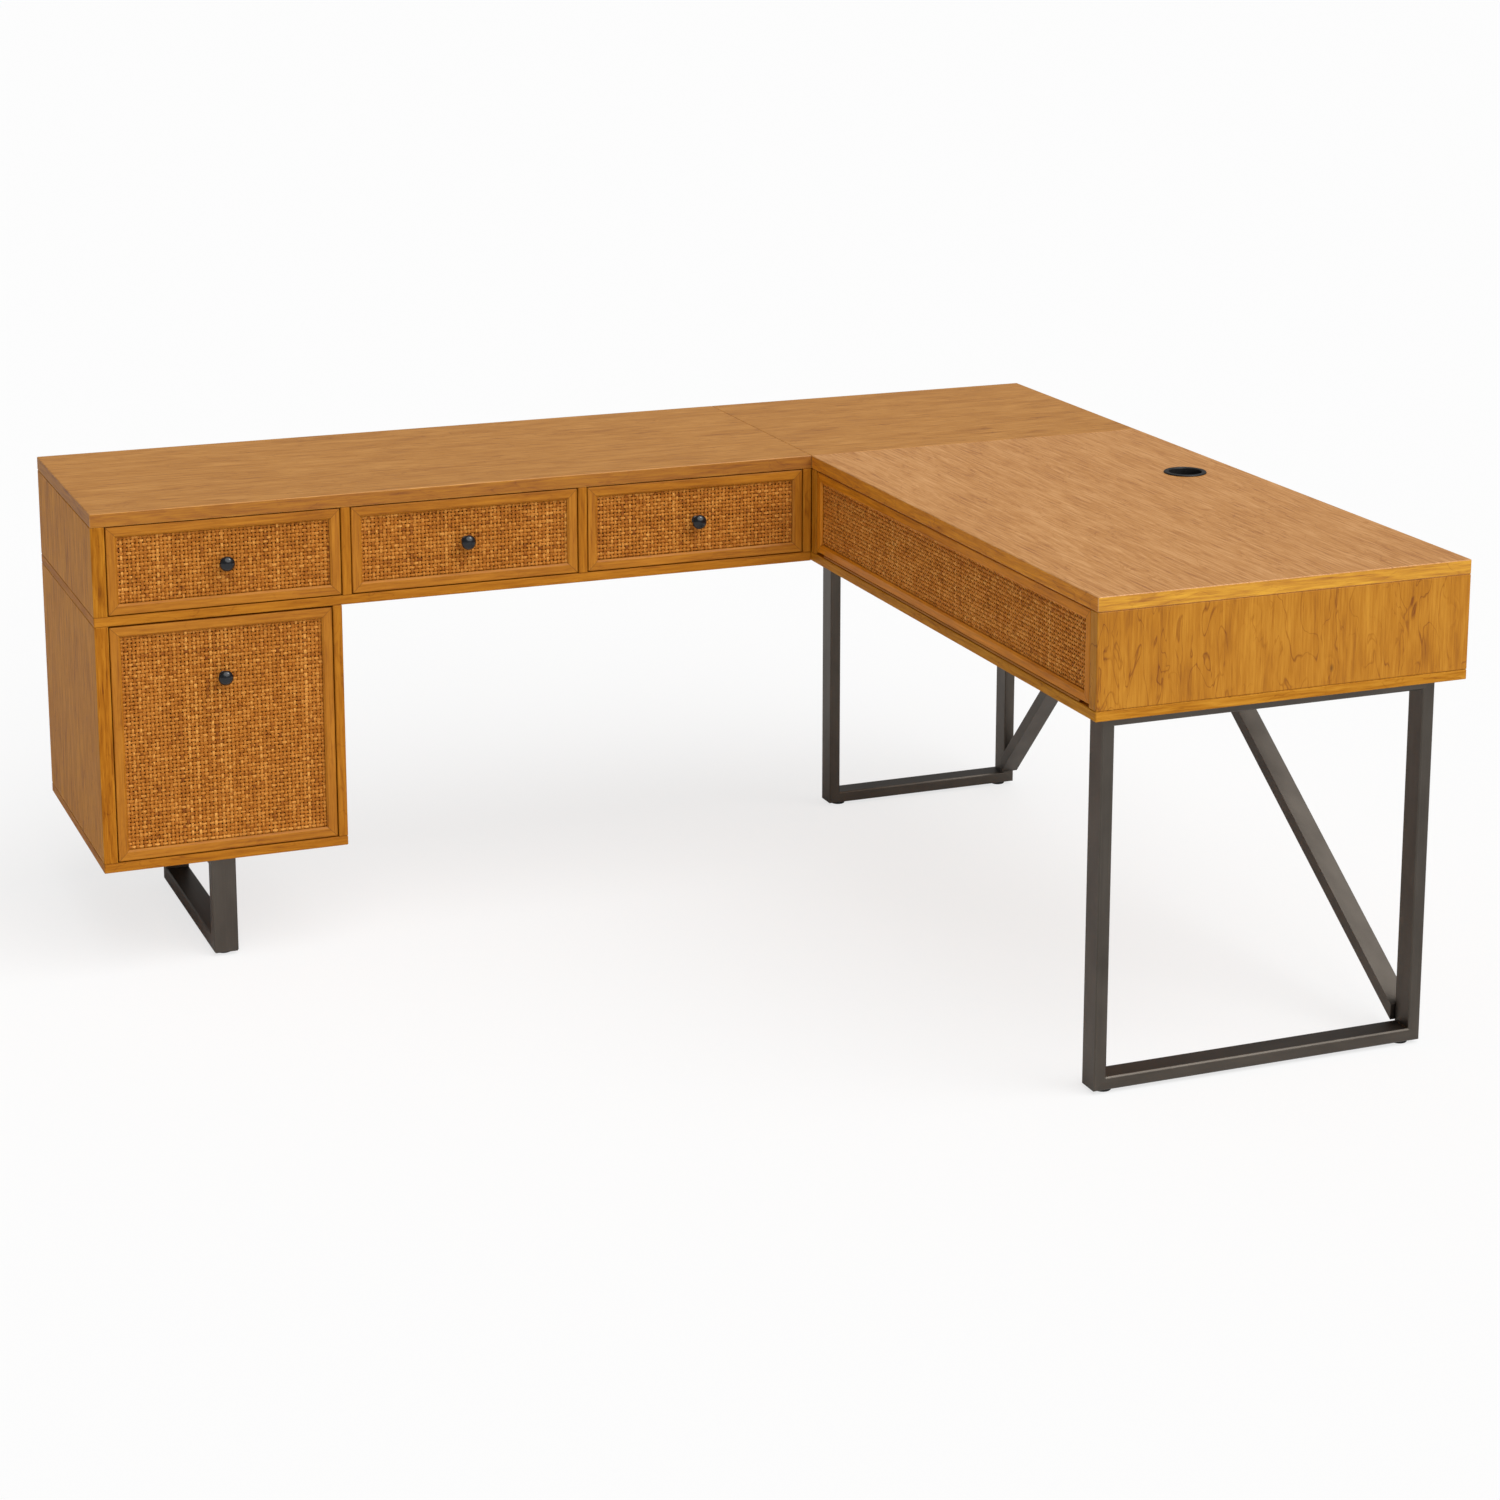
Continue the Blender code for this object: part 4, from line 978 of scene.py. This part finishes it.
set_in = add(driver, "GeometryNodeInstanceOnPoints", {"Points": given["Points"], "Instance": mesh,
                                                      "Rotation": aimed.outputs[0]})
real = add(driver, "GeometryNodeRealizeInstances", {"Geometry": set_in.outputs[0]})
dyed = add(driver, "GeometryNodeSetMaterial", {"Geometry": real.outputs[0], "Material": given["Finish"]})
add(driver, "NodeGroupOutput", {0: dyed.outputs[0]})
print("screw tree nodes:", len(driver.nodes))

# %% Set the screws
bpy.context.view_layer.update()


def seat(node, start, way):
    """Where a straight line from start first meets a node's surface."""
    hit, spot, _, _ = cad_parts[node].ray_cast(Vector(start), Vector(way))
    if not hit:
        raise ValueError("no surface for a screw in " + node)
    return spot


def screws(name, body, points, out, head, material):
    """A piece of screw heads at the given points, facing out. head: how wide and how tall they are."""
    width, height = head
    holes = bpy.data.meshes.new(name)
    holes.from_pydata([tuple(point) for point in points], [], [])
    piece = grow(name, driver, holes, Head_Width=width, Head_Height=height, Socket_Width=width * 0.45,
                 Out=Vector(out), Seed=len(name), Finish=material)
    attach(piece, body)
    print(name, len(points), "screws")


FRAME_SCREW = (9 * MM, 2.2 * MM)
SLIDE_SCREW = (7 * MM, 1.0 * MM)
KNOB_BOLT = (8 * MM, 2.4 * MM)
NEARLY_BLACK = ("#26272A", "#3B3D40", "#5C5E60")
LATHE_LINE = 0.3 * MM
BLACKENED = steel("blackened_screw_steel", board_grain("X", (0, 0, 0)), NEARLY_BLACK, 0.38, line=LATHE_LINE)
PLATED = steel("zinc_plated_screw_steel", board_grain("X", (0, 0, 0)), ZINC, 0.32, line=LATHE_LINE)
under = []
for node, run in (("near_leg_frame", 0), ("far_leg_frame", 0), ("cabinet_leg_frame", 1)):
    low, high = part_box(node)
    middle = (low + high) / 2
    for share in (0.2, 0.5, 0.8):
        start = Vector(middle)
        start[run] = low[run] + (high[run] - low[run]) * share
        under.append(seat(node, start, (0, 0, 1)))
for node, away in (("near_brace", 1), ("far_brace", -1)):
    low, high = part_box(node)
    middle = (low + high) / 2
    foot, toe = (low.y, high.y) if away > 0 else (high.y, low.y)
    heel = seat(node, (middle.x, foot - away * 10 * MM, high.z - 2 * MM), (0, away, 0)).y
    for y in (toe - away * 11 * MM, heel + away * 11 * MM):
        for x in (middle.x - 9 * MM, middle.x + 9 * MM):
            under.append(seat(node, (x, y, high.z - 50 * MM), (0, 0, 1)))
screws("frame_and_brace_screws", "desk", under, (0, 0, -1), FRAME_SCREW, BLACKENED)
for node, way in (("file_slide_fixed_left", -1), ("file_slide_fixed_right", 1)):
    low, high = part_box(node)
    middle = (low + high) / 2
    points = [seat(node, (middle.x, low.y + (high.y - low.y) * share, middle.z), (way, 0, 0))
              for share in (0.08, 0.36, 0.64, 0.92)]
    screws(node.replace("fixed", "screws"), "desk", points, (-way, 0, 0), SLIDE_SCREW, PLATED)
for body in DRAWERS + ("file_drawer",):
    knob_low, knob_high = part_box(body + "_knob")
    low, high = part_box(body + "_box")
    start = Vector(((knob_low.x + knob_high.x) / 2, (low.y + high.y) / 2, (knob_low.z + knob_high.z) / 2))
    if start.z > high.z:
        # This knob sits above the drawer box, so its bolt shows on the back of the woven panel.
        start.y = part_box(body + "_woven_panel")[1].y
    else:
        start = seat(body + "_box", start, (0, -1, 0))
    screws(body + "_knob_bolt", body, [start], (0, 1, 0), KNOB_BOLT, BLACKENED)
